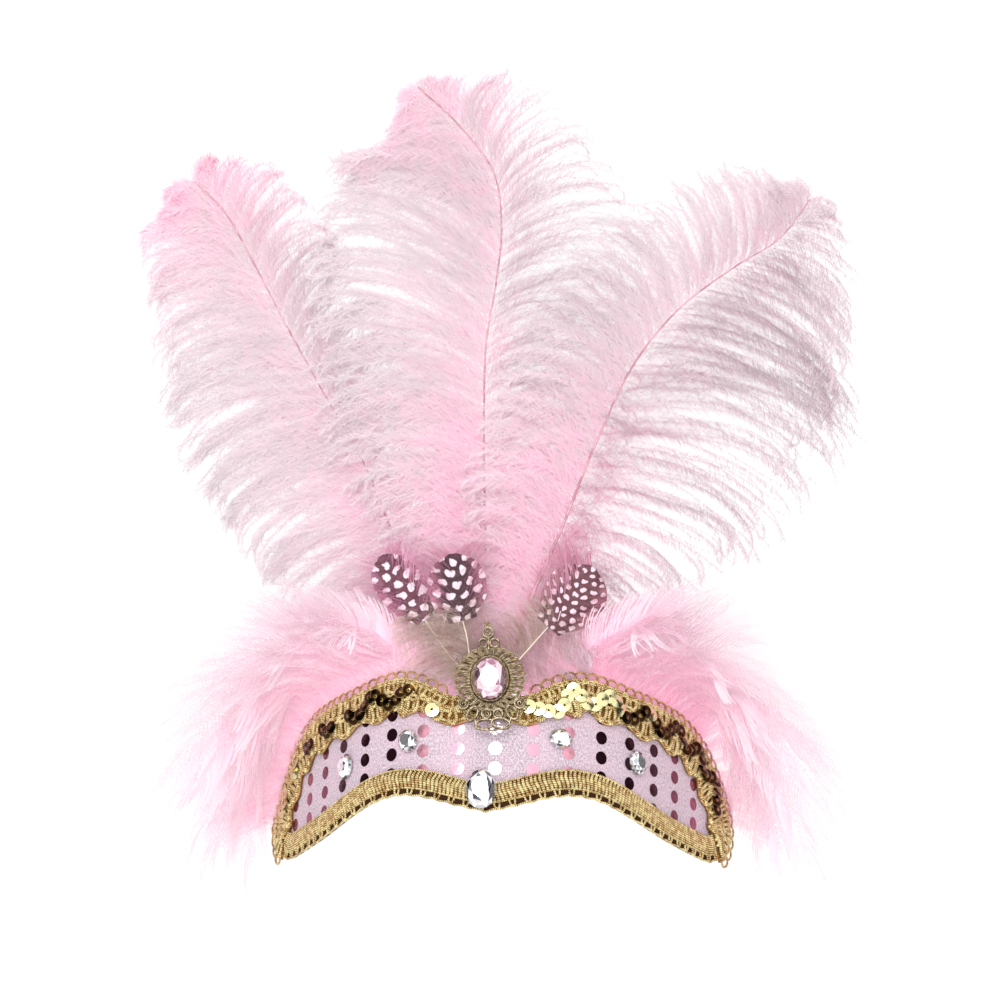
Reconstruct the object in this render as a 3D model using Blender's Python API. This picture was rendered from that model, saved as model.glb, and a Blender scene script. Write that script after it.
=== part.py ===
"""Feather headband for stage wear: a stiff fabric-covered band with gold braids, a sequin string, glued
stones, a brass brooch, three ostrich plumes, three spotted feathers and a frill of soft feathers at each
side.

Metres, +Z up. The origin is the middle of the head's place, the front faces -Y and +X is to the right of
someone who looks at the front. The band's own ring lies in a plane that is tilted, front high."""

import math

import bmesh
import bpy
import numpy as np
from mathutils import Matrix, Vector

MM = 0.001
GAP = 0.3 * MM

# Plan of the band: how far each end turns from the front, over which length, and where the front face lies
END_TURN = math.radians(61.5)
TURN_LENGTH = 105 * MM
FRONT_REACH = 100 * MM
RING_TILT = math.radians(17)
HALF_BAND = 128 * MM
FELT = 2.5 * MM

# Heights of the band's two edges above its middle line, by distance from the front centre along the band
BAND_EDGES = {
    "along": [0, 10, 16, 23, 32, 38, 46, 59, 71, 80, 89, 97, 104, 110, 116, 121, 125, 128],
    "top": [19, 19.4, 21, 25, 28.4, 28.7, 27.9, 25.9, 24.8, 23.7, 22.3, 19.6, 16.5, 12.5, 6.5, 0, -6.5, -13],
    "low": [-22.5, -20.1, -18.3, -16.3, -14.7, -14.7, -15.8, -19.4, -22.6, -24.5, -25.6, -26.3, -26.8, -26.8,
            -25, -22.2, -18, -14.5],
}

# Gold braids, laid flat on the fabric
BRAID_THICK = 2.5 * MM
UPPER_BRAID_WIDTH = 13.6 * MM
UPPER_BRAID_GROWTH = 2.4 * MM
SCALLOP_LENGTH = 23 * MM
SCALLOP_DEPTH = 1.5 * MM
LOOP_PITCH = 6.5 * MM
LOOP_HEIGHT = 2.9 * MM
LOOP_CORD = 0.9 * MM
LOOP_FREE_HALF = 17 * MM
LOWER_BRAID_WIDTH = 8.2 * MM
LOWER_BRAID_HALF = 96 * MM
LOWER_BRAID_HANG = 1.2 * MM
RIB_PITCH = 5.7 * MM

# Sequin string, in waves on the upper braid
SEQUIN = 5.4 * MM
SEQUIN_PITCH = 4.6 * MM
SEQUIN_THICK = 0.8 * MM
SEQUIN_INSET = 8.2 * MM
SEQUIN_WAVE = 3.2 * MM

# Stones: place along and up the band, half width, half height, thickness, turn in degrees, clearance
ON_FABRIC = GAP
ON_BRAID = GAP + BRAID_THICK + GAP
STONES = {
    "stone_left_outer": (-63.9, -0.9, 4.0, 5.0, 3.2, 0, ON_FABRIC),
    "stone_left_inner": (-31.1, 4.3, 4.0, 4.6, 3.2, 20, ON_FABRIC),
    "stone_right_inner": (27.2, 4.9, 4.7, 3.9, 3.2, 0, ON_FABRIC),
    "stone_right_outer": (62.0, 0.8, 4.0, 5.0, 3.2, 15, ON_FABRIC),
    "front_stone": (-1.8, -16.1, 6.0, 7.6, 4.6, 0, ON_BRAID),
}

# Brooch: a pierced stamping in its own plane, x to the right and y up from its stone's middle
BROOCH_ALONG = 0.6 * MM
BROOCH_HEIGHT = 25.2 * MM
BROOCH_TURN = math.radians(2.3)
BROOCH_OFF = ON_BRAID + SEQUIN_THICK + GAP
PLATE = 1.0 * MM
RAISED = 1.4 * MM
PETALS = 26
PETAL_REACH = (13.1 * MM, 12.4 * MM)
BROOCH_STONE = (6.1 * MM, 7.9 * MM, 3.6 * MM)
BEZEL_WIRE = 0.5 * MM
BEZEL_OUT = 1.0 * MM
SLOT_HALF_WIDTH = 0.55 * MM
SLOT_FROM_STONE = 1.9 * MM
# Round eyes, a stem and openings round the petals: x, y, half width, half height, rim, turn in degrees
BROOCH_EYES = [
    (-0.3, 17.7, 2.4, 2.4, 0.9, 5), (-0.5, 20.7, 1.2, 1.2, 1.2, 11), (-0.2, 14.0, 0.7, 3.0, 0.7, 3),
    (-2.2, 13.7, 2.1, 2.1, 0.9, 8), (2.0, 13.6, 2.1, 2.1, 0.9, 13), (-10.0, -9.3, 2.4, 2.4, 1.0, 7),
    (10.9, -9.7, 2.5, 2.5, 1.0, 4), (-6.7, -13.1, 2.3, 3.4, 1.1, -32), (7.9, -13.2, 2.3, 3.4, 1.1, 34),
    (-1.6, -13.3, 2.2, 2.2, 0.9, 9), (2.8, -13.4, 2.2, 2.2, 0.9, 2), (-2.3, -17.3, 3.9, 2.3, 0.9, 7),
    (3.7, -17.2, 3.9, 2.4, 0.9, -11),
]

# The fan of plumes: a curved sheet that leaves the band leaning back and stands up towards the tips
FAN_FOOT = 47 * MM
FAN_BACK = -86 * MM
FAN_LEAN = 0.29
FAN_STRAIGHTEN = 0.7
FAN_CUP = 1.0
HEAD_CUP = 8.0
FAN_FLATTEN = 40 * MM
FAN_SPREAD_RISE = 25 * MM

# Ostrich plumes: foot along the band, depth in the fan, shaft points (x, z) and rows of barb reach
QUILL_FOOT, QUILL_TIP = 1.3 * MM, 0.6 * MM
QUILL_SEWN = (-6, 6, 17)
PLUMES = {
    "left_plume": {
        "foot": -11, "layer": 12,
        "shaft": [(-19.5, 66), (-36, 101), (-53, 139), (-67, 162), (-83, 190), (-96, 214), (-108, 234),
                  (-119, 245)],
        "reach": {"at": [0.1, 0.25, 0.4, 0.55, 0.7, 0.85, 1.0], "left": [30, 52, 64, 66, 56, 44, 27],
                  "right": [24, 36, 44, 44, 38, 34, 22]},
    },
    "centre_plume": {
        "foot": -1.5, "layer": 6,
        "shaft": [(-2.2, 77), (-3.2, 110), (-4.2, 149), (-3.4, 183), (0, 204), (2, 227), (-0.6, 245),
                  (-14, 264), (-30, 279)],
        "reach": {"at": [0.1, 0.25, 0.4, 0.55, 0.7, 0.85, 1.0], "left": [24, 42, 62, 70, 66, 50, 24],
                  "right": [24, 40, 58, 60, 56, 46, 22]},
    },
    "right_plume": {
        "foot": 7, "layer": 0,
        "shaft": [(11, 72), (27, 113), (40, 146), (53, 173), (68, 192), (91, 210), (108, 221), (119.6, 236)],
        "reach": {"at": [0.1, 0.25, 0.4, 0.55, 0.7, 0.85, 1.0], "left": [22, 38, 44, 44, 42, 36, 18],
                  "right": [30, 56, 84, 88, 74, 46, 20]},
    },
}
LOCKS_PER_SIDE = 15
LOCK_PARTS = (0.3, 0.65, 1.0)
LOCK_TIP = (0.32, 0.68)
SHAFT_PAST_LOCKS = 14 * MM
SHAFT_POINTS = 301
FIRST_LOCK_RISE = 29 * MM
BARB_ANGLE_BASE, BARB_ANGLE_TIP = math.radians(102), math.radians(52)
BARB_DROOP = math.radians(55)
LOCK_THICK = 1.1 * MM

# Spotted feathers: foot across the band, layer, spine points (x, z) and rows of half width
SPOTTED_OFF = 3.4 * MM
SPOTTED_FRONT = -6.4 * MM
SPOTTED_STATIONS = 22
SPOTTED_BEND = 10
SPOTTED = {
    "left_spotted_feather": {
        "foot": -7.5, "layer": 0, "spine": [(-15.4, 63.6), (-23, 74), (-30, 84), (-36, 91), (-42, 100)],
        "width": {"at": [0, 0.22, 0.28, 0.36, 0.42, 0.5, 0.56, 0.64, 0.76, 0.88, 0.95, 1],
                  "half": [0.5, 0.5, 4, 6, 8, 5.5, 4.5, 7.6, 9, 8.4, 6, 2]},
    },
    "middle_spotted_feather": {
        "foot": -3, "layer": -2.2, "spine": [(-6.3, 60.2), (-8.4, 70), (-11, 80), (-12.6, 90), (-14.2, 101)],
        "width": {"at": [0, 0.22, 0.28, 0.36, 0.42, 0.5, 0.56, 0.64, 0.76, 0.88, 0.95, 1],
                  "half": [0.5, 0.5, 4, 7, 8, 6, 5, 9.4, 11, 10, 7, 2]},
    },
    "right_spotted_feather": {
        "foot": 5, "layer": 0, "spine": [(10.4, 60.9), (17, 68.4), (24, 76.5), (31, 85), (38, 96)],
        "width": {"at": [0, 0.22, 0.28, 0.36, 0.42, 0.5, 0.56, 0.64, 0.76, 0.88, 0.95, 1],
                  "half": [0.5, 0.5, 4, 7, 8.5, 6, 5, 9.6, 11.6, 10.6, 7, 2]},
    },
}
SPOTTED_THICK = 0.5 * MM

# Side frills: a tape behind the band, and the tips of its feathers from the middle outwards as (x, y, z)
TAPE_TOP, TAPE_HEIGHT, TAPE_THICK = 6 * MM, 7 * MM, 1.2 * MM
TAPE_FROM, TAPE_TO = 38 * MM, 104 * MM
FRILL_THICK = 0.5 * MM
FRILL_OVER, FRILL_CREST, FRILL_SWELL = (7 * MM, -4.6 * MM), (13 * MM, 5 * MM), 5 * MM
FRILL_WIDTHS = [1.0, 0.92, 1.0, 1.3, 1.8, 2.2, 1.8, 0.5]
FRILL_TIPS = {
    "left_side_feathers": [(-57, -80, 72), (-70, -79, 83), (-84, -75, 80), (-99, -67, 69), (-113, -60, 52),
                           (-123, -52, 34), (-126, -43, 14), (-117, -33, -3), (-104, -23, -15)],
    "right_side_feathers": [(60, -80, 71), (70, -79, 83), (84, -75, 83), (98, -68, 72), (108, -61, 54),
                            (120, -54, 37), (127, -46, 17), (122, -36, -4), (108, -26, -16)],
}

# Elastic strap: half of its way round the back in the ring's plane (x, y) with its height over that plane
STRAP_HEIGHT, STRAP_THICK = 8 * MM, 1.2 * MM
STRAP_STATIONS = 33
STRAP_WAY = [(-89, 8, 1), (-84, 36, 14), (-66, 68, 31), (-36, 90, 43), (0, 97, 48.5)]
STRAP_SEWN = [(-104, -7.5), (-113, -7), (-121, -5.5)]

FABRIC_PINK = (0.88, 0.66, 0.76)
GOLD = (0.72, 0.50, 0.19)
DARK_GOLD = (0.28, 0.19, 0.06)
ANTIQUE_BRASS = (0.30, 0.22, 0.12)
PALE_PINK = (0.95, 0.74, 0.83)
SPOTTED_BROWN = (0.30, 0.17, 0.20)
CLEAR = (0.85, 0.86, 0.90)
CLEAR_PINK = (0.95, 0.70, 0.78)
WHITE_ELASTIC = (0.90, 0.84, 0.87)

for old in list(bpy.data.objects):
    bpy.data.objects.remove(old)


# Curves and the band's surface

def smooth(xs, ys, x):
    """A smooth curve through a table's points, read at x."""
    xs, ys = np.asarray(xs, float), np.asarray(ys, float)
    slopes = np.gradient(ys, xs)
    i = np.clip(np.searchsorted(xs, x) - 1, 0, len(xs) - 2)
    step = xs[i + 1] - xs[i]
    t = np.clip((x - xs[i]) / step, 0, 1)
    start = (1 + 2 * t) * (1 - t) ** 2 * ys[i] + t * (1 - t) ** 2 * step * slopes[i]
    value = start + t * t * (3 - 2 * t) * ys[i + 1] - t * t * (1 - t) * step * slopes[i + 1]
    return value if np.ndim(value) else float(value)


def smooth_path(points, count):
    """Evenly spaced points on a smooth curve through 3-D points."""
    points = np.array([tuple(p) for p in points])
    knots = np.concatenate([[0], np.cumsum(np.linalg.norm(np.diff(points, axis=0), axis=1))])
    fine = np.linspace(0, knots[-1], 40 * len(points))
    curve = np.column_stack([smooth(knots, points[:, k], fine) for k in range(3)])
    run = np.concatenate([[0], np.cumsum(np.linalg.norm(np.diff(curve, axis=0), axis=1))])
    even = np.linspace(0, run[-1], count)
    return [Vector([np.interp(v, run, curve[:, k]) for k in range(3)]) for v in even]


PLAN_S = np.linspace(-0.14, 0.14, 2801)
PLAN_TURN = END_TURN * np.sin(math.pi / 2 * np.clip(PLAN_S / TURN_LENGTH, -1, 1))
PLAN_STEP = PLAN_S[1] - PLAN_S[0]
PLAN_X = np.cumsum(np.cos(PLAN_TURN)) * PLAN_STEP
PLAN_D = np.cumsum(np.sin(PLAN_TURN)) * PLAN_STEP
PLAN_X = PLAN_X - np.interp(0, PLAN_S, PLAN_X)
PLAN_D = PLAN_D - np.interp(0, PLAN_S, PLAN_D)


def on_band(along, height, off):
    """Point in the ring's frame: along the band, above its middle line, off its fabric face."""
    turn = np.interp(along, PLAN_S, PLAN_TURN)
    x = np.interp(along, PLAN_S, PLAN_X) + off * math.sin(turn)
    depth = np.interp(along, PLAN_S, PLAN_D) - off * math.cos(turn)
    return Vector((x, depth - FRONT_REACH, height))


RING = Matrix.Rotation(-RING_TILT, 4, "X")


def band_edge(along, edge):
    """Height of the band's top or low edge."""
    return smooth(BAND_EDGES["along"], BAND_EDGES[edge], np.abs(along) / MM) * MM


def fan_depth(x, z, layer):
    """World y of a layer of the fan at a place seen from the front."""
    rise = max(z - FAN_FOOT, 0)
    lean = FAN_LEAN * rise - FAN_STRAIGHTEN * rise ** 2
    cup = FAN_CUP + HEAD_CUP * math.exp(-rise / FAN_FLATTEN)
    return FAN_BACK + lean + cup * x * x + layer * (1 - math.exp(-rise / FAN_SPREAD_RISE))


class EdgeLine:
    """A line along the band's face, followed by length, with a sideways direction inwards."""

    def __init__(self, edge, half_length):
        along = np.linspace(-half_length, half_length, 1201)
        self.points = np.column_stack([along, band_edge(along, edge)])
        steps = np.linalg.norm(np.diff(self.points, axis=0), axis=1)
        self.run = np.concatenate([[0], np.cumsum(steps)])
        self.length = self.run[-1]
        self.side = -1 if edge == "top" else 1

    def at(self, length, inset):
        """Place along and up the band, at a length on the line and a distance in from it."""
        span = 2 * MM
        ends = [np.array([np.interp(v, self.run, self.points[:, k]) for k in (0, 1)])
                for v in (length - span, length + span)]
        here = np.array([np.interp(length, self.run, self.points[:, k]) for k in (0, 1)])
        way = (ends[1] - ends[0]) / np.linalg.norm(ends[1] - ends[0])
        return here + inset * self.side * np.array([-way[1], way[0]])


# Mesh building

def new_object(name, verts, faces, smooth_angle=40):
    """An object from points and faces, with its faces turned outwards."""
    mesh = bpy.data.meshes.new(name)
    bm = bmesh.new()
    made = [bm.verts.new(v) for v in verts]
    for face in faces:
        bm.faces.new([made[i] for i in face])
    bmesh.ops.recalc_face_normals(bm, faces=bm.faces)
    bm.to_mesh(mesh)
    bm.free()
    mesh.shade_smooth()
    mesh.set_sharp_from_angle(angle=math.radians(smooth_angle))
    obj = bpy.data.objects.new(name, mesh)
    bpy.context.collection.objects.link(obj)
    return obj


def give_material(obj, name, colour, roughness, metallic=0.0):
    """A Principled BSDF material, made once for each name."""
    material = bpy.data.materials.get(name) or bpy.data.materials.new(name)
    material.use_nodes = True
    shader = material.node_tree.nodes["Principled BSDF"]
    shader.inputs["Base Color"].default_value = (*colour, 1)
    shader.inputs["Roughness"].default_value = roughness
    shader.inputs["Metallic"].default_value = metallic
    material.diffuse_color = (*colour, 1)
    obj.data.materials.clear()
    obj.data.materials.append(material)


def ring_faces(start, rings, size):
    """Quads between consecutive rings of points that lie one after another from a start index."""
    faces = []
    for r in range(rings - 1):
        for k in range(size):
            a, b = start + r * size + k, start + r * size + (k + 1) % size
            faces.append((a, b, b + size, a + size))
    return faces


def join_rings(ring, start):
    """Quads from a ring of four points to the ring of four that begins at a start index."""
    return [(ring[k], ring[(k + 1) % 4], start + (k + 1) % 4, start + k) for k in range(4)]


def loft(name, rings, **options):
    """A closed solid through rings of points, with flat ends."""
    size = len(rings[0])
    verts = [p for ring in rings for p in ring]
    faces = ring_faces(0, len(rings), size)
    faces += [tuple(range(size)), tuple(range(len(verts) - size, len(verts)))]
    return new_object(name, verts, faces, **options)


def strip_ring(line, length, outer, inner, low, high):
    """Four corners of a flat strip on the band's face, across an edge line."""
    near, far = line.at(length, outer), line.at(length, inner)
    return [on_band(*near, low), on_band(*far, low), on_band(*far, high), on_band(*near, high)]


# The ring holds everything that lies on the band; the feathers above it are placed in world coordinates

ring = bpy.data.objects.new("ring", None)
ring.rotation_euler = (-RING_TILT, 0, 0)
bpy.context.collection.objects.link(ring)


def make_band():
    """Stiff felt covered in fabric, one bent wall with shaped edges."""
    spread = np.sin(np.linspace(-math.pi / 2, math.pi / 2, 61))
    stations = np.sign(spread) * np.abs(spread) ** 0.8 * HALF_BAND
    rings = []
    for along in stations:
        top, low = band_edge(along, "top"), band_edge(along, "low")
        rings.append([on_band(along, low, 0), on_band(along, top, 0),
                      on_band(along, top, -FELT), on_band(along, low, -FELT)])
    band = loft("band", rings)
    band.parent = ring
    give_material(band, "pink_fabric", FABRIC_PINK, 0.8)


def upper_braid_width(line, length):
    """Width of the upper braid, scalloped, and a little wider towards the ends."""
    from_middle = length - line.length / 2
    scallop = SCALLOP_DEPTH * math.cos(2 * math.pi * (abs(from_middle) - 9 * MM) / SCALLOP_LENGTH)
    dip = 3.2 * MM * math.exp(-(from_middle / (20 * MM)) ** 2)
    return UPPER_BRAID_WIDTH + UPPER_BRAID_GROWTH * (2 * from_middle / line.length) ** 2 - scallop - dip


def make_upper_braid():
    """Scalloped strip with small arched loops of cord standing on its outer edge."""
    line = EdgeLine("top", HALF_BAND - 1.5 * MM)
    loops = round(line.length / LOOP_PITCH)
    pitch = line.length / loops
    foot = LOOP_CORD
    span = 0.72 * pitch
    marks = []
    for k in range(loops):
        first = k * pitch + (pitch - span) / 2
        marks += [first, first + foot, first + span - foot, first + span]
    low, high = GAP, GAP + BRAID_THICK
    verts = [p for m in marks for p in strip_ring(line, m, 0, upper_braid_width(line, m), low, high)]
    faces = ring_faces(0, len(marks), 4)
    faces += [(0, 1, 2, 3), tuple(range(len(verts) - 4, len(verts)))]
    mid, thin, shoulder = (low + high) / 2, LOOP_CORD * 0.65, LOOP_CORD / 2
    for k in range(loops):
        left, right = 16 * k, 16 * k + 8
        middle = (marks[4 * k] + marks[4 * k + 3]) / 2
        if abs(middle - line.length / 2) < LOOP_FREE_HALF:
            continue
        for station in (left, right):
            faces.remove((station + 3, station, station + 4, station + 7))
        arch = []
        for outer, inner in ((marks[4 * k] + shoulder, marks[4 * k + 1] + shoulder),
                             (marks[4 * k + 3] - shoulder, marks[4 * k + 2] - shoulder)):
            near, far = line.at(outer, -LOOP_HEIGHT), line.at(inner, LOOP_CORD - LOOP_HEIGHT)
            arch.append([on_band(*near, mid + thin), on_band(*near, mid - thin),
                         on_band(*far, mid - thin), on_band(*far, mid + thin)])
        base = len(verts)
        verts += arch[0] + arch[1]
        feet = [(left + 3, left, left + 4, left + 7), (right + 7, right + 4, right, right + 3)]
        first, second = tuple(range(base, base + 4)), tuple(range(base + 4, base + 8))
        for one, other in ((feet[0], first), (first, second), (second, feet[1])):
            faces += [(one[j], one[(j + 1) % 4], other[(j + 1) % 4], other[j]) for j in range(4)]
    braid = new_object("upper_braid", verts, faces)
    braid.parent = ring
    give_material(braid, "gold_braid", GOLD, 0.45, 0.6)


def make_lower_braid():
    """Ribbed strip that hangs a little below the band's low edge, its own edge in small scallops."""
    line = EdgeLine("low", LOWER_BRAID_HALF)
    count = 2 * round(line.length / RIB_PITCH)
    rings = []
    for k in range(count + 1):
        length = line.length * k / count
        hang = LOWER_BRAID_HANG + (0.9 * MM if k % 2 else 0)
        rings.append(strip_ring(line, length, -hang, LOWER_BRAID_WIDTH, GAP, GAP + BRAID_THICK))
    braid = loft("lower_braid", rings)
    braid.parent = ring
    give_material(braid, "gold_braid", GOLD, 0.45, 0.6)


def make_sequin_string():
    """Overlapping sequins on one thread, as a waved plate with an edge that bulges at each sequin."""
    line = EdgeLine("top", HALF_BAND - 9 * MM)
    count = 2 * round(1.15 * line.length / SEQUIN_PITCH)
    low, high = ON_BRAID, ON_BRAID + SEQUIN_THICK
    rings = []
    for k in range(count + 1):
        length = line.length * k / count
        phase = 2 * math.pi * (abs(length - line.length / 2) - 9 * MM) / SCALLOP_LENGTH
        centre = SEQUIN_INSET - SEQUIN_WAVE * math.cos(phase)
        slope = abs(SEQUIN_WAVE * 2 * math.pi / SCALLOP_LENGTH * math.sin(phase))
        half = (SEQUIN / 2 if k % 2 else 0.62 * SEQUIN / 2) * math.sqrt(1 + 0.5 * slope ** 2)
        rings.append(strip_ring(line, length, centre - half, centre + half, low, high))
    string = loft("sequin_string", rings)
    string.parent = ring
    give_material(string, "dark_gold_sequins", DARK_GOLD, 0.15, 1.0)


def cut_stone(name, half_width, half_height, thick):
    """An oval stone with a flat back, a girdle, rows of facets and a table, as its corners' hull."""
    rows = [(12, 0, 0.90, 0), (12, 0, 1.0, 0.22), (12, 0.5, 0.84, 0.68), (8, 0.25, 0.56, 1.0)]
    verts = []
    for sides, shift, size, rise in rows:
        for k in range(sides):
            angle = 2 * math.pi * (k + shift) / sides
            x, y = half_width * math.cos(angle), half_height * math.sin(angle)
            verts.append(Vector((size * x, size * y, rise * thick)))
    bm = bmesh.new()
    for v in verts:
        bm.verts.new(v)
    bmesh.ops.convex_hull(bm, input=bm.verts)
    bmesh.ops.recalc_face_normals(bm, faces=bm.faces)
    mesh = bpy.data.meshes.new(name)
    bm.to_mesh(mesh)
    bm.free()
    obj = bpy.data.objects.new(name, mesh)
    bpy.context.collection.objects.link(obj)
    return obj


def stand_on_band(obj, along, height, off, turn=0.0):
    """Places a flat thing made in its own plane against the band, its back towards the fabric."""
    facing = np.interp(along, PLAN_S, PLAN_TURN)
    obj.parent = ring
    obj.location = on_band(along, height, off)
    obj.rotation_mode = "QUATERNION"
    upright = Matrix.Rotation(facing, 3, "Z") @ Matrix.Rotation(math.pi / 2, 3, "X")
    obj.rotation_quaternion = (upright @ Matrix.Rotation(turn, 3, "Z")).to_quaternion()


def make_stones():
    """Flat-backed oval stones, glued on."""
    for name, (along, height, half_width, half_height, thick, turn, off) in STONES.items():
        stone = cut_stone(name, half_width * MM, half_height * MM, thick * MM)
        stand_on_band(stone, along * MM, height * MM, off, math.radians(turn))
        give_material(stone, "clear_stone", CLEAR, 0.05)


def oval(centre, half_width, half_height, sides, turn=0.0):
    """Corners of an oval in the brooch's plane."""
    corners = []
    for k in range(sides):
        angle = 2 * math.pi * k / sides
        x, y = half_width * math.cos(angle), half_height * math.sin(angle)
        corners.append((centre[0] + x * math.cos(turn) - y * math.sin(turn),
                        centre[1] + x * math.sin(turn) + y * math.cos(turn)))
    return corners


def pierced_plate(name, outlines, low, high):
    """A flat plate with holes: a filled 2-D curve, extruded and welded."""
    curve = bpy.data.curves.new(name, "CURVE")
    curve.dimensions = "2D"
    curve.fill_mode = "BOTH"
    curve.extrude = (high - low) / 2
    for outline in outlines:
        spline = curve.splines.new("POLY")
        spline.points.add(len(outline) - 1)
        for point, (x, y) in zip(spline.points, outline):
            point.co = (x, y, 0, 1)
        spline.use_cyclic_u = True
    flat = bpy.data.objects.new(name, curve)
    bpy.context.collection.objects.link(flat)
    mesh = bpy.data.meshes.new_from_object(flat.evaluated_get(bpy.context.evaluated_depsgraph_get()))
    bpy.data.objects.remove(flat)
    bm = bmesh.new()
    bm.from_mesh(mesh)
    bmesh.ops.remove_doubles(bm, verts=bm.verts, dist=0.001 * MM)
    bmesh.ops.translate(bm, verts=bm.verts, vec=(0, 0, (low + high) / 2))
    bmesh.ops.recalc_face_normals(bm, faces=bm.faces)
    bm.to_mesh(mesh)
    bm.free()
    obj = bpy.data.objects.new(name, mesh)
    bpy.context.collection.objects.link(obj)
    return obj


def petal_outlines():
    """The scalloped outline of the petals round the stone, and a narrow slot through each petal."""
    def reach(angle):
        return Vector((PETAL_REACH[0] * math.cos(angle), PETAL_REACH[1] * math.sin(angle)))
    outer = []
    per_petal = 3
    for k in range(PETALS * per_petal):
        angle = 2 * math.pi * k / (PETALS * per_petal)
        bulge = (0.925, 1.0, 1.0)[k % per_petal]
        outer.append(tuple(reach(angle) * bulge))
    outlines = [outer]
    start = [(BROOCH_STONE[k] + SLOT_FROM_STONE) / PETAL_REACH[k] for k in (0, 1)]
    for k in range(PETALS):
        angle = 2 * math.pi * (k + 0.5) / PETALS
        way = reach(angle)
        inner = Vector((way.x * start[0], way.y * start[1]))
        outer_end = way * 0.93
        side = Vector((-math.sin(angle), math.cos(angle))) * SLOT_HALF_WIDTH
        far = inner.lerp(outer_end, 0.75)
        outlines.append([tuple(p) for p in (inner, far - side, outer_end, far + side)])
    return outlines


def make_brooch():
    """Stamped filigree: pierced petals, round eyes about them, and a raised rim round the stone."""
    brooch = pierced_plate("brooch", petal_outlines(), 0, PLATE)
    extras = []
    for k, (x, y, wide, high, rim, turn) in enumerate(BROOCH_EYES):
        centre, turn = (x * MM, y * MM), math.radians(turn)
        sides = 8 if wide == high else 10
        outlines = [oval(centre, wide * MM, high * MM, sides, turn)]
        if rim < wide:
            outlines.append(oval(centre, (wide - rim) * MM, (high - rim) * MM, sides, turn))
        lift = 0.02 * MM * (k + 1)
        extras.append(pierced_plate(f"brooch_eye_{k}", outlines, 0.1 * MM + lift, RAISED - lift))
    major = (BROOCH_STONE[0] + BEZEL_OUT, BROOCH_STONE[1] + BEZEL_OUT)
    rings = []
    steps = 20
    for k in range(steps):
        angle = 2 * math.pi * k / steps
        centre = Vector((major[0] * math.cos(angle), major[1] * math.sin(angle), PLATE + 0.2 * MM))
        out = Vector((math.cos(angle) / major[0], math.sin(angle) / major[1], 0)).normalized()
        rings.append([centre + out * BEZEL_WIRE * math.cos(a) + Vector((0, 0, 1.5 * BEZEL_WIRE * math.sin(a)))
                      for a in np.arange(5) * math.pi / 2.5])
    verts = [p for wire in rings for p in wire]
    faces = [tuple(i % len(verts) for i in face) for face in ring_faces(0, steps + 1, 5)]
    extras.append(new_object("brooch_rim", verts, faces))
    for extra in extras:
        join = brooch.modifiers.new(extra.name, "BOOLEAN")
        join.operation = "UNION"
        join.object = extra
        stand_on_band(extra, BROOCH_ALONG, BROOCH_HEIGHT, BROOCH_OFF, BROOCH_TURN)
        extra.hide_render = True
        extra.display_type = "WIRE"
    stand_on_band(brooch, BROOCH_ALONG, BROOCH_HEIGHT, BROOCH_OFF, BROOCH_TURN)
    give_material(brooch, "antique_brass", ANTIQUE_BRASS, 0.45, 1.0)
    stone = cut_stone("brooch_stone", *BROOCH_STONE)
    stand_on_band(stone, BROOCH_ALONG, BROOCH_HEIGHT, BROOCH_OFF + PLATE + GAP, BROOCH_TURN)
    give_material(stone, "pink_stone", CLEAR_PINK, 0.05)


# Feathers

def behind_band(along, height, radius):
    """World place of a quill's middle that lies behind the felt."""
    return RING @ on_band(along * MM, height * MM, -(FELT + GAP + radius))


class Shaft:
    """A plume's shaft as a smooth path, with the curves that its barbs follow in the fan's sheet."""

    def __init__(self, plume):
        self.layer = plume["layer"] * MM
        self.reach = plume["reach"]
        way = [behind_band(plume["foot"], height, QUILL_FOOT + GAP) for height in QUILL_SEWN]
        way += [Vector((x * MM, fan_depth(x * MM, z * MM, self.layer), z * MM)) for x, z in plume["shaft"]]
        self.path = smooth_path(way, SHAFT_POINTS)
        self.last = SHAFT_POINTS - 1
        self.first = next(k for k, p in enumerate(self.path) if p.z > FAN_FOOT + FIRST_LOCK_RISE)

    def place(self, pick):
        """Place at a path position, which may lie between two path points."""
        low = min(int(pick), self.last - 1)
        return self.path[low].lerp(self.path[low + 1], pick - low)

    def direction(self, pick):
        """Direction of the shaft there, towards its tip."""
        return (self.place(min(pick + 2, self.last)) - self.place(max(pick - 2, 0))).normalized()

    def section(self, place, pick, radius):
        """Four corners round the shaft, with the sides 1 and 3 facing left and right."""
        left = self.direction(pick).cross(Vector((0, 1, 0))).normalized()
        back = left.cross(self.direction(pick))
        return [place + radius * (left * a + back * b) for a, b in ((1, -1), (-1, -1), (-1, 1), (1, 1))]

    def barb(self, pick, side, part):
        """Place on the barb that leaves the shaft at a path position, part of the way to its tip."""
        here, tangent = self.place(pick), self.direction(pick)
        along = (pick - self.first) / (self.last - self.first)
        heading = math.atan2(tangent.z, tangent.x)
        reach = smooth(self.reach["at"], self.reach[side], 0.1 + 0.9 * along) * MM
        sign = 1 if side == "left" else -1
        start = BARB_ANGLE_BASE + (BARB_ANGLE_TIP - BARB_ANGLE_BASE) * along - BARB_DROOP / 2
        turned = start + BARB_DROOP * part
        ahead = (math.sin(turned) - math.sin(start)) / BARB_DROOP
        aside = (math.cos(start) - math.cos(turned)) / BARB_DROOP
        x = here.x + reach * (ahead * math.cos(heading) - sign * aside * math.sin(heading))
        z = here.z + reach * (ahead * math.sin(heading) + sign * aside * math.cos(heading))
        shift = here.y - fan_depth(here.x, here.z, self.layer)
        return Vector((x, fan_depth(x, z, self.layer) + shift, z))


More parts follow.
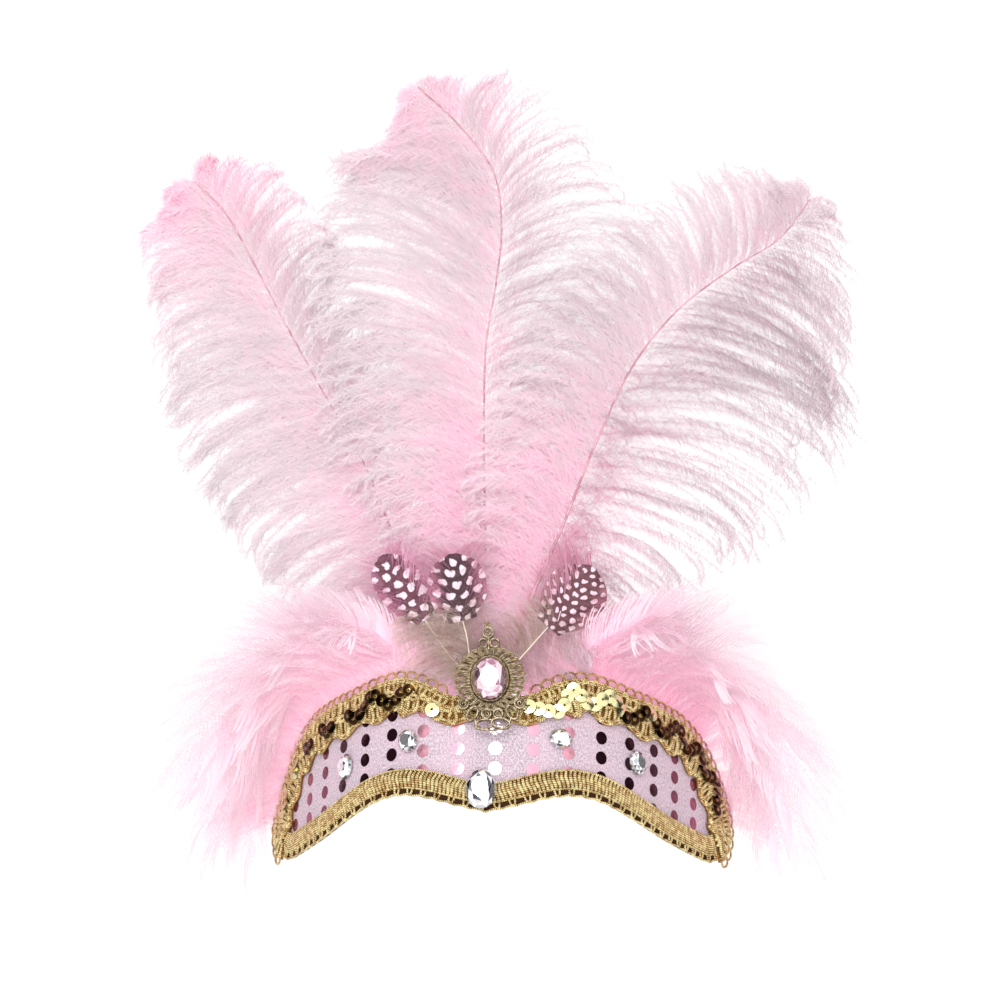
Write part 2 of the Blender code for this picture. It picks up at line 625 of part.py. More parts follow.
def make_plume(name, plume):
    """A shaft with locks of barbs fused to both its sides, all in one curved sheet."""
    shaft = Shaft(plume)
    bare = 5
    picks = np.linspace(0, shaft.first, bare + 1)[:-1].tolist()
    picks += np.linspace(shaft.first, shaft.last, LOCKS_PER_SIDE + 1).tolist()
    verts, faces = [], []
    for pick in picks:
        radius = QUILL_FOOT + (QUILL_TIP - QUILL_FOOT) * pick / shaft.last
        verts += shaft.section(shaft.place(pick), pick, radius)
    past = shaft.place(shaft.last) + shaft.direction(shaft.last) * SHAFT_PAST_LOCKS
    verts += shaft.section(past, shaft.last, QUILL_TIP / 2)
    faces += ring_faces(0, bare + 1, 4)
    faces += [face for r in range(bare, len(picks) - 1) for k, face in enumerate(ring_faces(4 * r, 2, 4))
              if k in (0, 2)]
    faces += ring_faces(4 * len(picks) - 4, 2, 4)
    faces += [(0, 1, 2, 3), tuple(range(len(verts) - 4, len(verts)))]
    for r in range(bare, len(picks) - 1):
        middle, half = (picks[r] + picks[r + 1]) / 2, (picks[r + 1] - picks[r]) / 2
        for side, corners, front in (("left", (3, 0, 4, 7), -1), ("right", (1, 2, 6, 5), 1)):
            previous = tuple(4 * r + c for c in corners)
            for part in LOCK_PARTS:
                keep = 1 - 0.06 * part - 0.3 * part ** 2
                near, far = [shaft.barb(middle + s * half * keep, side, part) for s in (-1, 1)]
                if part == 1.0:
                    near, far = near.lerp(far, LOCK_TIP[0]), near.lerp(far, LOCK_TIP[1])
                thick = Vector((0, front * LOCK_THICK * (1 - 0.5 * part), 0))
                base = len(verts)
                verts += [near - thick, near + thick, far + thick, far - thick]
                faces += join_rings(previous, base)
                previous = tuple(range(base, base + 4))
            faces.append(previous)
    give_material(new_object(name, verts, faces), "pink_plume", PALE_PINK, 0.9)


def make_spotted_feather(name, feather):
    """One thin blade: bare quill, downy base with a ragged edge, then the broad spotted vane."""
    layer = feather["layer"] * MM
    way = [RING @ on_band(feather["foot"] * MM * scale, height * MM, SPOTTED_OFF)
           for scale, height in ((0.9, 20), (1.1, 27))]
    way += [Vector((x * MM, fan_depth(x * MM, z * MM, layer) + SPOTTED_FRONT, z * MM))
            for x, z in feather["spine"]]
    path = smooth_path(way, SPOTTED_STATIONS)
    last = SPOTTED_STATIONS - 1
    front = Vector((0, -SPOTTED_THICK, 0))
    rings = []
    for k, point in enumerate(path):
        tangent = (path[min(k + 1, last)] - path[max(k - 1, 0)]).normalized()
        left = tangent.cross(Vector((0, 1, 0))).normalized()
        in_down = 0.25 < k / SPOTTED_STATIONS < 0.55
        ragged = 0.8 if k % 2 and in_down else 1.0
        half = max(smooth(feather["width"]["at"], feather["width"]["half"], k / last) * ragged, 0.5) * MM
        bend = Vector((0, SPOTTED_BEND * half * half, 0))
        rings.append([point + left * half + bend, point + front, point - left * half + bend, point - front])
    give_material(loft(name, rings), "spotted_feather", SPOTTED_BROWN, 0.8)


def make_side_feathers(name, tips):
    """A tape sewn behind the band, with soft feathers that rise over the band's edge and fan outwards."""
    hand = -1 if name.startswith("left") else 1
    marks = np.linspace(TAPE_FROM, TAPE_TO, len(tips) + 1)
    front = -(FELT + GAP)
    verts, faces = [], []
    for along in marks:
        top = band_edge(along, "top") - TAPE_TOP
        verts += [RING @ on_band(hand * along, height, off) for height, off in
                  ((top, front), (top, front - TAPE_THICK), (top - TAPE_HEIGHT, front - TAPE_THICK),
                   (top - TAPE_HEIGHT, front))]
    faces += [face for k, face in enumerate(ring_faces(0, len(marks), 4)) if k % 4]
    faces += [(0, 1, 2, 3), tuple(range(len(verts) - 4, len(verts)))]
    last = len(FRILL_WIDTHS) - 1
    for k, (tip, near, far) in enumerate(zip(tips, marks, marks[1:])):
        middle, half = (near + far) / 2, (far - near) / 2
        top = band_edge(middle, "top")
        root, over, crest = [RING @ on_band(hand * middle, top + height, off) for height, off in
                             ((-TAPE_TOP, front - TAPE_THICK / 2), FRILL_OVER, FRILL_CREST)]
        tip = Vector(tip) * MM
        bend = crest.lerp(tip, 0.5) + Vector((hand * FRILL_SWELL, 0, FRILL_SWELL))
        path = smooth_path([root, over, crest, bend, tip], last + 1)
        across = (RING @ on_band(hand * far, 0, 0) - RING @ on_band(hand * near, 0, 0)).normalized()
        previous = (4 * k, 4 * k + 4, 4 * k + 5, 4 * k + 1)
        for j in range(1, last + 1):
            onward = (path[min(j + 1, last)] - path[j - 1]).normalized()
            facing = onward.cross(Vector((0, 1, 0))).normalized() * -hand
            side = across.lerp(facing, min(1, (j - 1) / 3))
            side = (side - onward * side.dot(onward)).normalized()
            normal = side.cross(onward).normalized() * FRILL_THICK * hand
            reach = side * half * FRILL_WIDTHS[j]
            base = len(verts)
            verts += [path[j] - reach + normal, path[j] + reach + normal,
                      path[j] + reach - normal, path[j] - reach - normal]
            faces += join_rings(previous, base)
            previous = tuple(range(base, base + 4))
        faces.append(previous)
    give_material(new_object(name, verts, faces), "side_feathers", PALE_PINK, 0.9)


def make_strap():
    """Plain elastic, sewn inside both ends of the band and led round the back of the head."""
    off = -(FELT + GAP + STRAP_THICK / 2)
    half = [on_band(along * MM, height * MM, off) for along, height in STRAP_SEWN]
    half += [Vector(p) * MM for p in STRAP_WAY]
    way = half + [Vector((-p.x, p.y, p.z)) for p in reversed(half[:-1])]
    path = smooth_path(way, STRAP_STATIONS)
    rings = []
    for k, point in enumerate(path):
        tangent = (path[min(k + 1, STRAP_STATIONS - 1)] - path[max(k - 1, 0)]).normalized()
        out = tangent.cross(Vector((0, 0, 1))).normalized() * STRAP_THICK / 2
        up = Vector((0, 0, STRAP_HEIGHT / 2))
        rings.append([point + out - up, point + out + up, point - out + up, point - out - up])
    strap = loft("elastic_strap", rings)
    strap.parent = ring
    give_material(strap, "elastic", WHITE_ELASTIC, 0.85)


make_band()
make_upper_braid()
make_lower_braid()
make_sequin_string()
make_stones()
make_brooch()
for plume_name, plume_rows in PLUMES.items():
    make_plume(plume_name, plume_rows)
for feather_name, feather_rows in SPOTTED.items():
    make_spotted_feather(feather_name, feather_rows)
for frill_name, frill_tips in FRILL_TIPS.items():
    make_side_feathers(frill_name, frill_tips)
make_strap()
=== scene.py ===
"""Feather headband for stage wear: the finished looks of its band, trimmings and feathers."""

import math

import bmesh
import bpy
import numpy as np
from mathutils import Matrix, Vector


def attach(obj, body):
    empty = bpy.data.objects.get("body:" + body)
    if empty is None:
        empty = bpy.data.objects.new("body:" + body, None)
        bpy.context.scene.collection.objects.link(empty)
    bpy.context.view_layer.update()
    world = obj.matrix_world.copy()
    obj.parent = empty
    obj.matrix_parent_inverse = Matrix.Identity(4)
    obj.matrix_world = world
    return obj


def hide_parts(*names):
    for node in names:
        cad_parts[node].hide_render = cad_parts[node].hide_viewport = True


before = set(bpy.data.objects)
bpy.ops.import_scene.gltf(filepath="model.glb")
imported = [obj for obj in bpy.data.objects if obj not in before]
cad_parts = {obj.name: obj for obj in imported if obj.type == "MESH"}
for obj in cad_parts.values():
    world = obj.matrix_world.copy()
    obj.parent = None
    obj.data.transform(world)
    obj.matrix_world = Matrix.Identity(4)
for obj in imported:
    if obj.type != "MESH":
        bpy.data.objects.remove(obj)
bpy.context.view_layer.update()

# Band: stiff felt under pale pink fabric with a fine uneven weave, cut with a point over the brow
# and an arch over each eye. It is bent round the front half of the head, and its front sits high.

MM = 0.001
FULL_TURN = 2 * math.pi
END_TURN = math.radians(61.5)
TURN_LENGTH = 105 * MM
FRONT_REACH = 100 * MM
RING_TILT = math.radians(17)
HALF_BAND = 128 * MM
FELT = 2.5 * MM
ROUND_EDGE = 1.1 * MM
BAND_STATIONS = 161
WEAVE_PITCH, PICK_PITCH = 0.62 * MM, 0.9 * MM
BAND_EDGES = {
    "along": [0, 10, 16, 23, 32, 38, 46, 59, 71, 80, 89, 97, 104, 110, 116, 121, 125, 128],
    "top": [19, 19.4, 21, 25, 28.4, 28.7, 27.9, 25.9, 24.8, 23.7, 22.3, 19.6, 16.5, 12.5, 6.5, 0, -6.5, -13],
    "low": [-22.5, -20.1, -18.3, -16.3, -14.7, -14.7, -15.8, -19.4, -22.6, -24.5, -25.6, -26.3, -26.8, -26.8,
            -25, -22.2, -18, -14.5],
}
PLAN_S = np.linspace(-0.14, 0.14, 2801)
PLAN_TURN = END_TURN * np.sin(math.pi / 2 * np.clip(PLAN_S / TURN_LENGTH, -1, 1))
PLAN_STEP = PLAN_S[1] - PLAN_S[0]
PLAN_X = np.cumsum(np.cos(PLAN_TURN)) * PLAN_STEP
PLAN_D = np.cumsum(np.sin(PLAN_TURN)) * PLAN_STEP
PLAN_X -= np.interp(0, PLAN_S, PLAN_X)
PLAN_D -= np.interp(0, PLAN_S, PLAN_D)


def smooth(xs, ys, x):
    """A smooth curve through a table's points, read at x."""
    xs, ys = np.asarray(xs, float), np.asarray(ys, float)
    slopes = np.gradient(ys, xs)
    i = np.clip(np.searchsorted(xs, x) - 1, 0, len(xs) - 2)
    step = xs[i + 1] - xs[i]
    t = np.clip((x - xs[i]) / step, 0, 1)
    start = (1 + 2 * t) * (1 - t) ** 2 * ys[i] + t * (1 - t) ** 2 * step * slopes[i]
    return start + t * t * (3 - 2 * t) * ys[i + 1] - t * t * (1 - t) * step * slopes[i + 1]


def together(*measures):
    """Points from their measures, some of which may be the same for all."""
    return np.stack(np.broadcast_arrays(*measures), axis=-1)


def tilted(x, y, z):
    """Points of the band's own level ring, in the headband's frame, where the front is high."""
    cos, sin = math.cos(RING_TILT), math.sin(RING_TILT)
    return together(x, y * cos + z * sin, z * cos - y * sin)


def on_band(along, height, off):
    """Places along the band, above its middle line and off its fabric face."""
    turn = np.interp(along, PLAN_S, PLAN_TURN)
    x = np.interp(along, PLAN_S, PLAN_X) + off * np.sin(turn)
    depth = np.interp(along, PLAN_S, PLAN_D) - off * np.cos(turn)
    return tilted(x, depth - FRONT_REACH, height)


def facing(along):
    """Outward direction of the fabric face."""
    turn = np.interp(along, PLAN_S, PLAN_TURN)
    return tilted(np.sin(turn), -np.cos(turn), 0 * turn)


def band_edge(along, edge):
    """Height of the band's top or low edge."""
    return smooth(BAND_EDGES["along"], BAND_EDGES[edge], np.abs(along) / MM) * MM


def add_object(name, data):
    """Puts a mesh, camera or lamp into the scene."""
    thing = bpy.data.objects.new(name, data)
    bpy.context.collection.objects.link(thing)
    return thing


def skin(name, rings, marks, finish):
    """A closed mesh through rings of points, with flat ends; marks are each point's u and v."""
    count, size = rings.shape[:2]
    index = np.arange(count * size).reshape(count, size)
    after = np.roll(index, -1, axis=1)
    quads = np.stack([index[:-1], after[:-1], after[1:], index[1:]], axis=-1).reshape(-1, 4).tolist()
    mesh = bpy.data.meshes.new(name)
    mesh.from_pydata(rings.reshape(-1, 3), [], quads + [index[0].tolist(), index[-1].tolist()])
    bm = bmesh.new()
    bm.from_mesh(mesh)
    bmesh.ops.recalc_face_normals(bm, faces=bm.faces)
    bm.to_mesh(mesh)
    bm.free()
    corners = np.empty(len(mesh.loops), int)
    mesh.loops.foreach_get("vertex_index", corners)
    layer = mesh.uv_layers.new(name="UVMap")
    layer.data.foreach_set("uv", marks.reshape(-1, 2)[corners].ravel())
    mesh.shade_smooth()
    mesh.set_sharp_from_angle(angle=math.radians(50))
    mesh.materials.append(finish.material)
    return add_object(name, mesh)


class Wire:
    """An output of a node in a shader or geometry tree. Arithmetic on it adds Math nodes."""

    def __init__(self, tree, socket=None):
        self.tree = tree
        self.socket = socket

    def plug(self, socket, value):
        """Sets a socket to a value, or links a wire to it."""
        if isinstance(value, Wire):
            self.tree.links.new(value.socket, socket)
        else:
            socket.default_value = value

    def node(self, kind, settings=None, inputs=None, output=0):
        """Adds a node: its settings first, then the values or wires of its sockets."""
        made = self.tree.nodes.new(kind)
        for key, value in (settings or {}).items():
            if key == "stops":
                elements = made.color_ramp.elements
                while len(elements) < len(value):
                    elements.new(1.0)
                for element, (place, colour) in zip(elements, value):
                    element.position = place
                    element.color = (*colour, 1)
            else:
                setattr(made, key, value)
        for key, value in (inputs or {}).items():
            self.plug(made.inputs[key], value)
        return Wire(self.tree, made.outputs[output])

    def out(self, output):
        """Another output of the same node."""
        return Wire(self.tree, self.socket.node.outputs[output])

    def math(self, operation, *values):
        """A Math node on this wire and further values."""
        return self.node("ShaderNodeMath", {"operation": operation}, dict(enumerate((self, *values))))

    def __add__(self, other):
        return self.math("ADD", other)

    def __sub__(self, other):
        return self.math("SUBTRACT", other)

    def __rsub__(self, other):
        return self.node("ShaderNodeMath", {"operation": "SUBTRACT"}, {0: other, 1: self})

    def __mul__(self, other):
        return self.math("MULTIPLY", other)

    def __truediv__(self, other):
        return self.math("DIVIDE", other)

    __radd__ = __add__
    __rmul__ = __mul__

    def between(self, low, high, start=0.0, end=1.0):
        """This value's way from low to high, smoothly turned into start to end."""
        return self.node("ShaderNodeMapRange", {"interpolation_type": "SMOOTHSTEP"},
                         {"Value": self, "From Min": low, "From Max": high, "To Min": start, "To Max": end})

    def tint(self, low, high):
        """A colour between two, by this value."""
        ends = [value if isinstance(value, Wire) else (*value, 1) for value in (low, high)]
        return self.node("ShaderNodeMix", {"data_type": "RGBA"}, {0: self, 6: ends[0], 7: ends[1]}, 2)

    def noise(self, scale, detail=2.0):
        """Noise at this place, from 0 to 1."""
        return self.node("ShaderNodeTexNoise", inputs={"Vector": self, "Scale": scale, "Detail": detail})

    def ripple(self, pitch):
        """Waves along this length, from -1 to 1."""
        return (self * (FULL_TURN / pitch)).math("SINE")

    def carried(self, name, kind="FLOAT"):
        """A value that the points of this geometry carry."""
        return self.node("GeometryNodeInputNamedAttribute", {"data_type": kind}, {"Name": name})

    def carry(self, name, value, kind="FLOAT"):
        """This geometry, with a value stored on its points."""
        return self.node("GeometryNodeStoreNamedAttribute", {"data_type": kind},
                         {"Geometry": self, "Name": name, "Value": value})

    def ramp(self, stops):
        """A colour from a row of stops, by this value."""
        return self.node("ShaderNodeValToRGB", {"stops": stops}, {0: self})

    def relief(self, distance, strength=1.0):
        """A normal from this height."""
        return self.node("ShaderNodeBump",
                         inputs={"Height": self, "Distance": distance, "Strength": strength})


class Finish:
    """A material with a Principled shader, whose sockets take values or wires."""

    def __init__(self, name, sockets):
        self.material = bpy.data.materials.new(name)
        self.material.use_nodes = True
        self.tree = self.material.node_tree
        self.shader = self.tree.nodes["Principled BSDF"]
        self.start = Wire(self.tree)
        self.place = self.start.node("ShaderNodeTexCoord", output="Object")
        self.set(sockets)

    def set(self, sockets):
        for key, value in sockets.items():
            self.start.plug(self.shader.inputs[key], value)

    def uv(self):
        """The u and v of the piece's own map, in metres."""
        axes = self.start.node("ShaderNodeSeparateXYZ", inputs={0: self.place.out("UV")})
        return axes, axes.out(1)

    def attribute(self, name):
        """A value that the piece's mesh carries."""
        return self.start.node("ShaderNodeAttribute", {"attribute_name": name}, output="Fac")

    def let_light_through(self, share, colour):
        """Mixes in a Translucent shader, for what is thin enough to glow."""
        through = self.start.node("ShaderNodeBsdfTranslucent", inputs={"Color": colour})
        own = Wire(self.tree, self.shader.outputs[0])
        mixed = self.start.node("ShaderNodeMixShader", inputs={0: share, 1: own, 2: through})
        self.tree.links.new(mixed.socket, self.tree.nodes["Material Output"].inputs["Surface"])


def belongs(piece, slot, *nodes):
    """The piece rides on the headband and stands for its nodes, which are hidden; the slot is not used."""
    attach(piece, "root")
    if nodes:
        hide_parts(*nodes)


def make_band_cover(finish):
    """The felt wall with rounded edges, wrapped in its fabric."""
    spread = np.sin(np.linspace(-math.pi / 2, math.pi / 2, BAND_STATIONS))
    along = np.sign(spread) * np.abs(spread) ** 0.8 * HALF_BAND
    low, top = band_edge(along, "low"), band_edge(along, "top")
    radius = np.minimum(ROUND_EDGE, (top - low) / 2.2)
    front, back = np.linspace(0, 1, 12)[1:-1], np.linspace(1, 0, 8)[1:-1]
    heights, offs = [], []
    for parts, face, edge, way in ((front, 0, top - radius, 1), (back, -FELT, low + radius, -1)):
        for part in parts:
            heights.append(low + radius + (top - low - 2 * radius) * part)
            offs.append(face + 0 * low)
        for angle in np.linspace(0, math.pi, 7):
            heights.append(edge + way * radius * np.sin(angle))
            offs.append(-FELT / 2 * (1 - way * np.cos(angle)) + 0 * low)
    heights, offs = np.stack(heights, axis=1), np.stack(offs, axis=1)
    places = np.repeat(along[:, None], heights.shape[1], axis=1)
    return skin("band_cover", on_band(places, heights, offs), together(places, heights), finish)


fabric = Finish("woven_fabric", {"Roughness": 0.72, "Sheen Weight": 0.25, "Sheen Roughness": 0.4})
u, v = fabric.uv()
ribs = u.ripple(WEAVE_PITCH) * 0.5 + 0.5
slubs = fabric.start.node("ShaderNodeCombineXYZ", inputs={0: u * 1700, 1: v * 1000}).noise(1.0, 3)
picks = (v * (FULL_TURN / PICK_PITCH) + slubs * 5).math("SINE") * 0.5 + 0.5
blotches = fabric.place.noise(90, 3)
thread_colour = slubs.between(0.34, 0.66).tint((0.44, 0.32, 0.39), (0.73, 0.62, 0.68))
fabric.set({"Base Color": blotches.between(0.35, 0.68, 0, 0.45).tint(thread_colour, (0.72, 0.50, 0.60)),
            "Normal": (ribs * picks + slubs * 0.6).relief(0.16 * MM)})
belongs(make_band_cover(fabric), "pink_fabric", "band")

# Foil dots: thin round spangles of rose foil, glued to the fabric in upright columns before it was cut,
# so some are half hidden by the braids. Their colour by column is painted reflection.

DOT, DOT_CUP, DOT_HOLE, DOT_OFF = 5.0 * MM, 0.12 * MM, 0.02 * MM, 0.10 * MM
DOT_COLUMNS, COLUMN_PITCH, COLUMN_SHIFT = (-9, 10), 14.0 * MM, 2.85 * MM
DOT_ROWS, ROW_PITCH = (-3, 4), 7.6 * MM
SHOWN_COLUMNS = 7
# Painted reflections by column: light pink in the middle, deeper rose beside it, near-black, then dull rose
# at the ends.
DOT_PAINTED_REFLECTIONS = [(0.0, (0.93, 0.74, 0.82)), (0.14, (0.92, 0.46, 0.58)), (0.29, (0.82, 0.38, 0.47)),
             (0.40, (0.045, 0.012, 0.02)), (0.72, (0.05, 0.012, 0.02)), (1.0, (0.34, 0.10, 0.16))]


def geometry_tree(name, inputs):
    """A Geometry Nodes tree with named inputs, and wires from them."""
    tree = bpy.data.node_groups.new(name, "GeometryNodeTree")
    tree.interface.new_socket("Geometry", in_out="INPUT", socket_type="NodeSocketGeometry")
    tree.interface.new_socket("Geometry", in_out="OUTPUT", socket_type="NodeSocketGeometry")
    for title, kind in inputs.items():
        tree.interface.new_socket(title, in_out="INPUT", socket_type="NodeSocket" + kind)
    start = tree.nodes.new("NodeGroupInput")
    return tree, {socket.name: Wire(tree, socket) for socket in start.outputs if socket.name}


def close_tree(tree, geometry, material):
    """Ends a tree in real geometry with its material."""
    real = geometry.node("GeometryNodeRealizeInstances", inputs={0: geometry})
    painted = real.node("GeometryNodeSetMaterial", inputs={"Geometry": real, "Material": material})
    end = tree.nodes.new("NodeGroupOutput")
    tree.links.new(painted.socket, end.inputs[0])


def lines_mesh(name, lines, closed=False, **attributes):
    """A mesh of bare lines from an array of lines of points, with values kept on the points."""
    count, steps = lines.shape[:2]
    mesh = bpy.data.meshes.new(name)
    mesh.vertices.add(count * steps)
    mesh.vertices.foreach_set("co", lines.astype(np.float32).ravel())
    index = np.arange(count * steps).reshape(count, steps)
    after = np.roll(index, -1, axis=1)
    edges = together(index, after)
    edges = edges if closed else edges[:, :-1]
    mesh.edges.add(edges.size // 2)
    mesh.edges.foreach_set("vertices", edges.ravel())
    for title, values in attributes.items():
        arrow = np.ndim(values) == 3
        values = np.broadcast_to(values, (count, steps, 3) if arrow else (count, steps))
        field = mesh.attributes.new(title, "FLOAT_VECTOR" if arrow else "FLOAT", "POINT")
        field.data.foreach_set("vector" if arrow else "value", values.astype(np.float32).ravel())
    mesh.update()
    return mesh


def grow(name, source, tree, values):
    """Runs a tree on a mesh and gives the result as a plain mesh object."""
    piece = add_object(name, source)
    modifier = piece.modifiers.new("grow", "NODES")
    modifier.node_group = tree
    for item in tree.interface.items_tree:
        if item.in_out == "INPUT" and item.name in values:
            modifier[item.identifier] = values[item.name]
    bpy.context.view_layer.update()
    shown = piece.evaluated_get(bpy.context.evaluated_depsgraph_get())
    piece.data = bpy.data.meshes.new_from_object(shown)
    piece.modifiers.clear()
    return piece


def spangle_tree():
    """Sets round cupped spangles on points that carry the way they face."""
    tree, given = geometry_tree("set_spangles", {
        "Radius": "Float", "Cup": "Float", "Hole": "Float", "Material": "Material"})
    start = given["Geometry"]
    disc = start.node("GeometryNodeMeshCone", {"fill_type": "NONE"},
                      {"Vertices": 20, "Side Segments": 3, "Radius Top": given["Hole"],
                       "Radius Bottom": given["Radius"], "Depth": given["Cup"]})
    place = start.node("GeometryNodeInputPosition")
    from_middle = start.node("ShaderNodeVectorMath", {"operation": "LENGTH"}, {0: place}, 1)
    disc = disc.carry("ring", from_middle / given["Radius"])
    turn = start.node("FunctionNodeAlignRotationToVector", {"axis": "Z"},
                      {"Vector": start.carried("facing", "FLOAT_VECTOR")})
    placed = start.node("GeometryNodeInstanceOnPoints", inputs={
        "Points": start, "Instance": disc, "Rotation": turn})
    close_tree(tree, placed, given["Material"])
    return tree


spangles = spangle_tree()
foil = Finish("rose_foil", {"Metallic": 0.75, "Roughness": 0.2})
# Painted reflection: each dot's colour is read from its column.
foil.set({"Base Color": foil.attribute("tone").ramp(DOT_PAINTED_REFLECTIONS),
          "Normal": foil.place.noise(420, 2).relief(0.15 * MM, 0.5)})
columns = np.arange(*DOT_COLUMNS) * COLUMN_PITCH + COLUMN_SHIFT
dot_along, dot_height = [grid.ravel() for grid in np.meshgrid(columns, np.arange(*DOT_ROWS) * ROW_PITCH)]
on_fabric = ((dot_height < band_edge(dot_along, "top") - DOT / 2)
             & (dot_height > band_edge(dot_along, "low") + DOT / 2) & (np.abs(dot_along) < HALF_BAND - DOT))
dot_along, dot_height = dot_along[on_fabric], dot_height[on_fabric]
dot_points = lines_mesh("foil_dots", on_band(dot_along, dot_height, DOT_OFF)[:, None],
                        facing=facing(dot_along)[:, None],
                        tone=(np.abs(dot_along - COLUMN_SHIFT) / COLUMN_PITCH / SHOWN_COLUMNS)[:, None])
dots = grow("foil_dots", dot_points, spangles,
            {"Radius": DOT / 2, "Cup": DOT_CUP, "Hole": DOT_HOLE, "Material": foil.material})
belongs(dots, "pink_fabric")

# Elastic strap: plain woven elastic, sewn inside both ends of the band. It closes the ring behind the
# head and rises there over the crown's back, clear of the side feathers.

GAP = 0.3 * MM
STRAP_HEIGHT, STRAP_THICK = 8 * MM, 1.2 * MM
STRAP_WAY = [(-89, 8, 1), (-84, 36, 14), (-66, 68, 31), (-36, 90, 43), (0, 97, 48.5)]
STRAP_SEWN = [(-104, -7.5), (-113, -7), (-121, -5.5)]
STRAP_SECTION = [(0.30, 0.5), (0.5, 0.42), (0.5, -0.42), (0.30, -0.5), (-0.30, -0.5), (-0.5, -0.42),
                 (-0.5, 0.42), (-0.30, 0.5)]
STRAP_STATIONS = 141


def lengths(path):
    """How far along a path each of its points lies."""
    return np.concatenate([[0], np.cumsum(np.linalg.norm(np.diff(path, axis=0), axis=1))])


def read(points, marks, here):
    """Places between points whose marks rise along a line."""
    return np.stack([np.interp(here, marks, column) for column in points.T], axis=-1)


def at(path, picks):
    """Places on a path at positions that may lie between its points."""
    return read(path, np.arange(len(path)), picks)


def smooth_path(points, count):
    """Evenly spaced points on a smooth curve through 3-D points."""
    points = np.asarray(points, float)
    knots = lengths(points)
    fine = np.linspace(0, knots[-1], 40 * len(points))
    curve = np.column_stack([smooth(knots, column, fine) for column in points.T])
    run = lengths(curve)
    return read(curve, run, np.linspace(0, run[-1], count))


def unit(vectors):
    """Vectors of length one."""
    return vectors / np.maximum(np.linalg.norm(vectors, axis=-1, keepdims=True), 1e-9)


def make_strap(finish):
    """Flat elastic with rounded edges, and a map along and across it."""
    off = -(FELT + GAP + STRAP_THICK / 2)
    half = np.array([on_band(along * MM, height * MM, off) for along, height in STRAP_SEWN]
                    + [tilted(*np.array(point) * MM) for point in STRAP_WAY])
    path = smooth_path(np.vstack([half, half[-2::-1] * (-1, 1, 1)]), STRAP_STATIONS)
    up = tilted(0.0, 0.0, 1.0)
    out = unit(np.cross(np.gradient(path, axis=0), up))
    rings = np.stack([path + out * a * STRAP_THICK + up * b * STRAP_HEIGHT for a, b in STRAP_SECTION], axis=1)
    run = lengths(path)
    marks = np.stack([together(run, b * STRAP_HEIGHT) for a, b in STRAP_SECTION], axis=1)
    return skin("elastic_strap_woven", rings, marks, finish)


elastic = Finish("woven_elastic", {"Roughness": 0.8})
u, v = elastic.uv()
elastic.set({"Base Color": elastic.place.noise(260).tint((0.78, 0.66, 0.72), (0.90, 0.82, 0.86)),
             "Normal": (v.ripple(1.0 * MM) + u.ripple(0.7 * MM) * 0.5).relief(0.15 * MM)})
belongs(make_strap(elastic), "elastic", "elastic_strap")

# Side feathers: soft broad pink feathers with pale ends, sewn side by side to a tape behind the band.
# They rise over its upper edge and fan outwards and down past its ends.

TAPE_TOP, TAPE_HEIGHT, TAPE_THICK = 6 * MM, 7 * MM, 1.2 * MM
TAPE_FROM, TAPE_TO = 38 * MM, 104 * MM
FRILL_OVER, FRILL_CREST, FRILL_SWELL = (7 * MM, -4.6 * MM), (13 * MM, 5 * MM), 5 * MM
FRILL_TIPS = {
    "left_side_feathers": [
        (-57, -80, 72), (-70, -79, 83), (-84, -75, 80), (-99, -67, 69), (-113, -60, 52),
        (-123, -52, 34), (-126, -43, 14), (-119, -33, -4), (-109, -24, -16), (-98, -18, -19)],
    "right_side_feathers": [
        (60, -80, 71), (70, -79, 83), (84, -75, 83), (98, -68, 72), (108, -61, 54),
        (120, -54, 37), (127, -46, 17), (123, -36, -5), (112, -26, -17), (100, -20, -19)],
}
FRILL_FEATHERS, FRILL_SPINE = 56, 40
FRILL_BARBS, FRILL_TUFT, FRILL_BARB_POINTS = 45, 5, 7
FRILL_HALF_WIDTH, FRILL_THICK = 12.5 * MM, 0.42 * MM
TIP_SPREAD, BACK_ROW, SHORT_RAISED = 1.6 * MM, 2.5 * MM, 3 * MM
SHORT_SHARE, LONG_SHARE = (0.45, 0.62), (0.86, 1.03)
FRILL_OUTLINE = [0, 0.2, 0.5, 0.8, 1], [0.9, 1.0, 1.05, 0.95, 0.55]
FRILL_ANGLES = [0, 0.6, 1], [62, 50, 32]
BARE_QUILL = 3
EDGE_DOWN, DOWN_FROM, DOWN_TO, DOWN_LENGTH = 760, 14 * MM, 124 * MM, (17, 30)
FALL_FROM, FALL_OVER = 95 * MM, 25 * MM


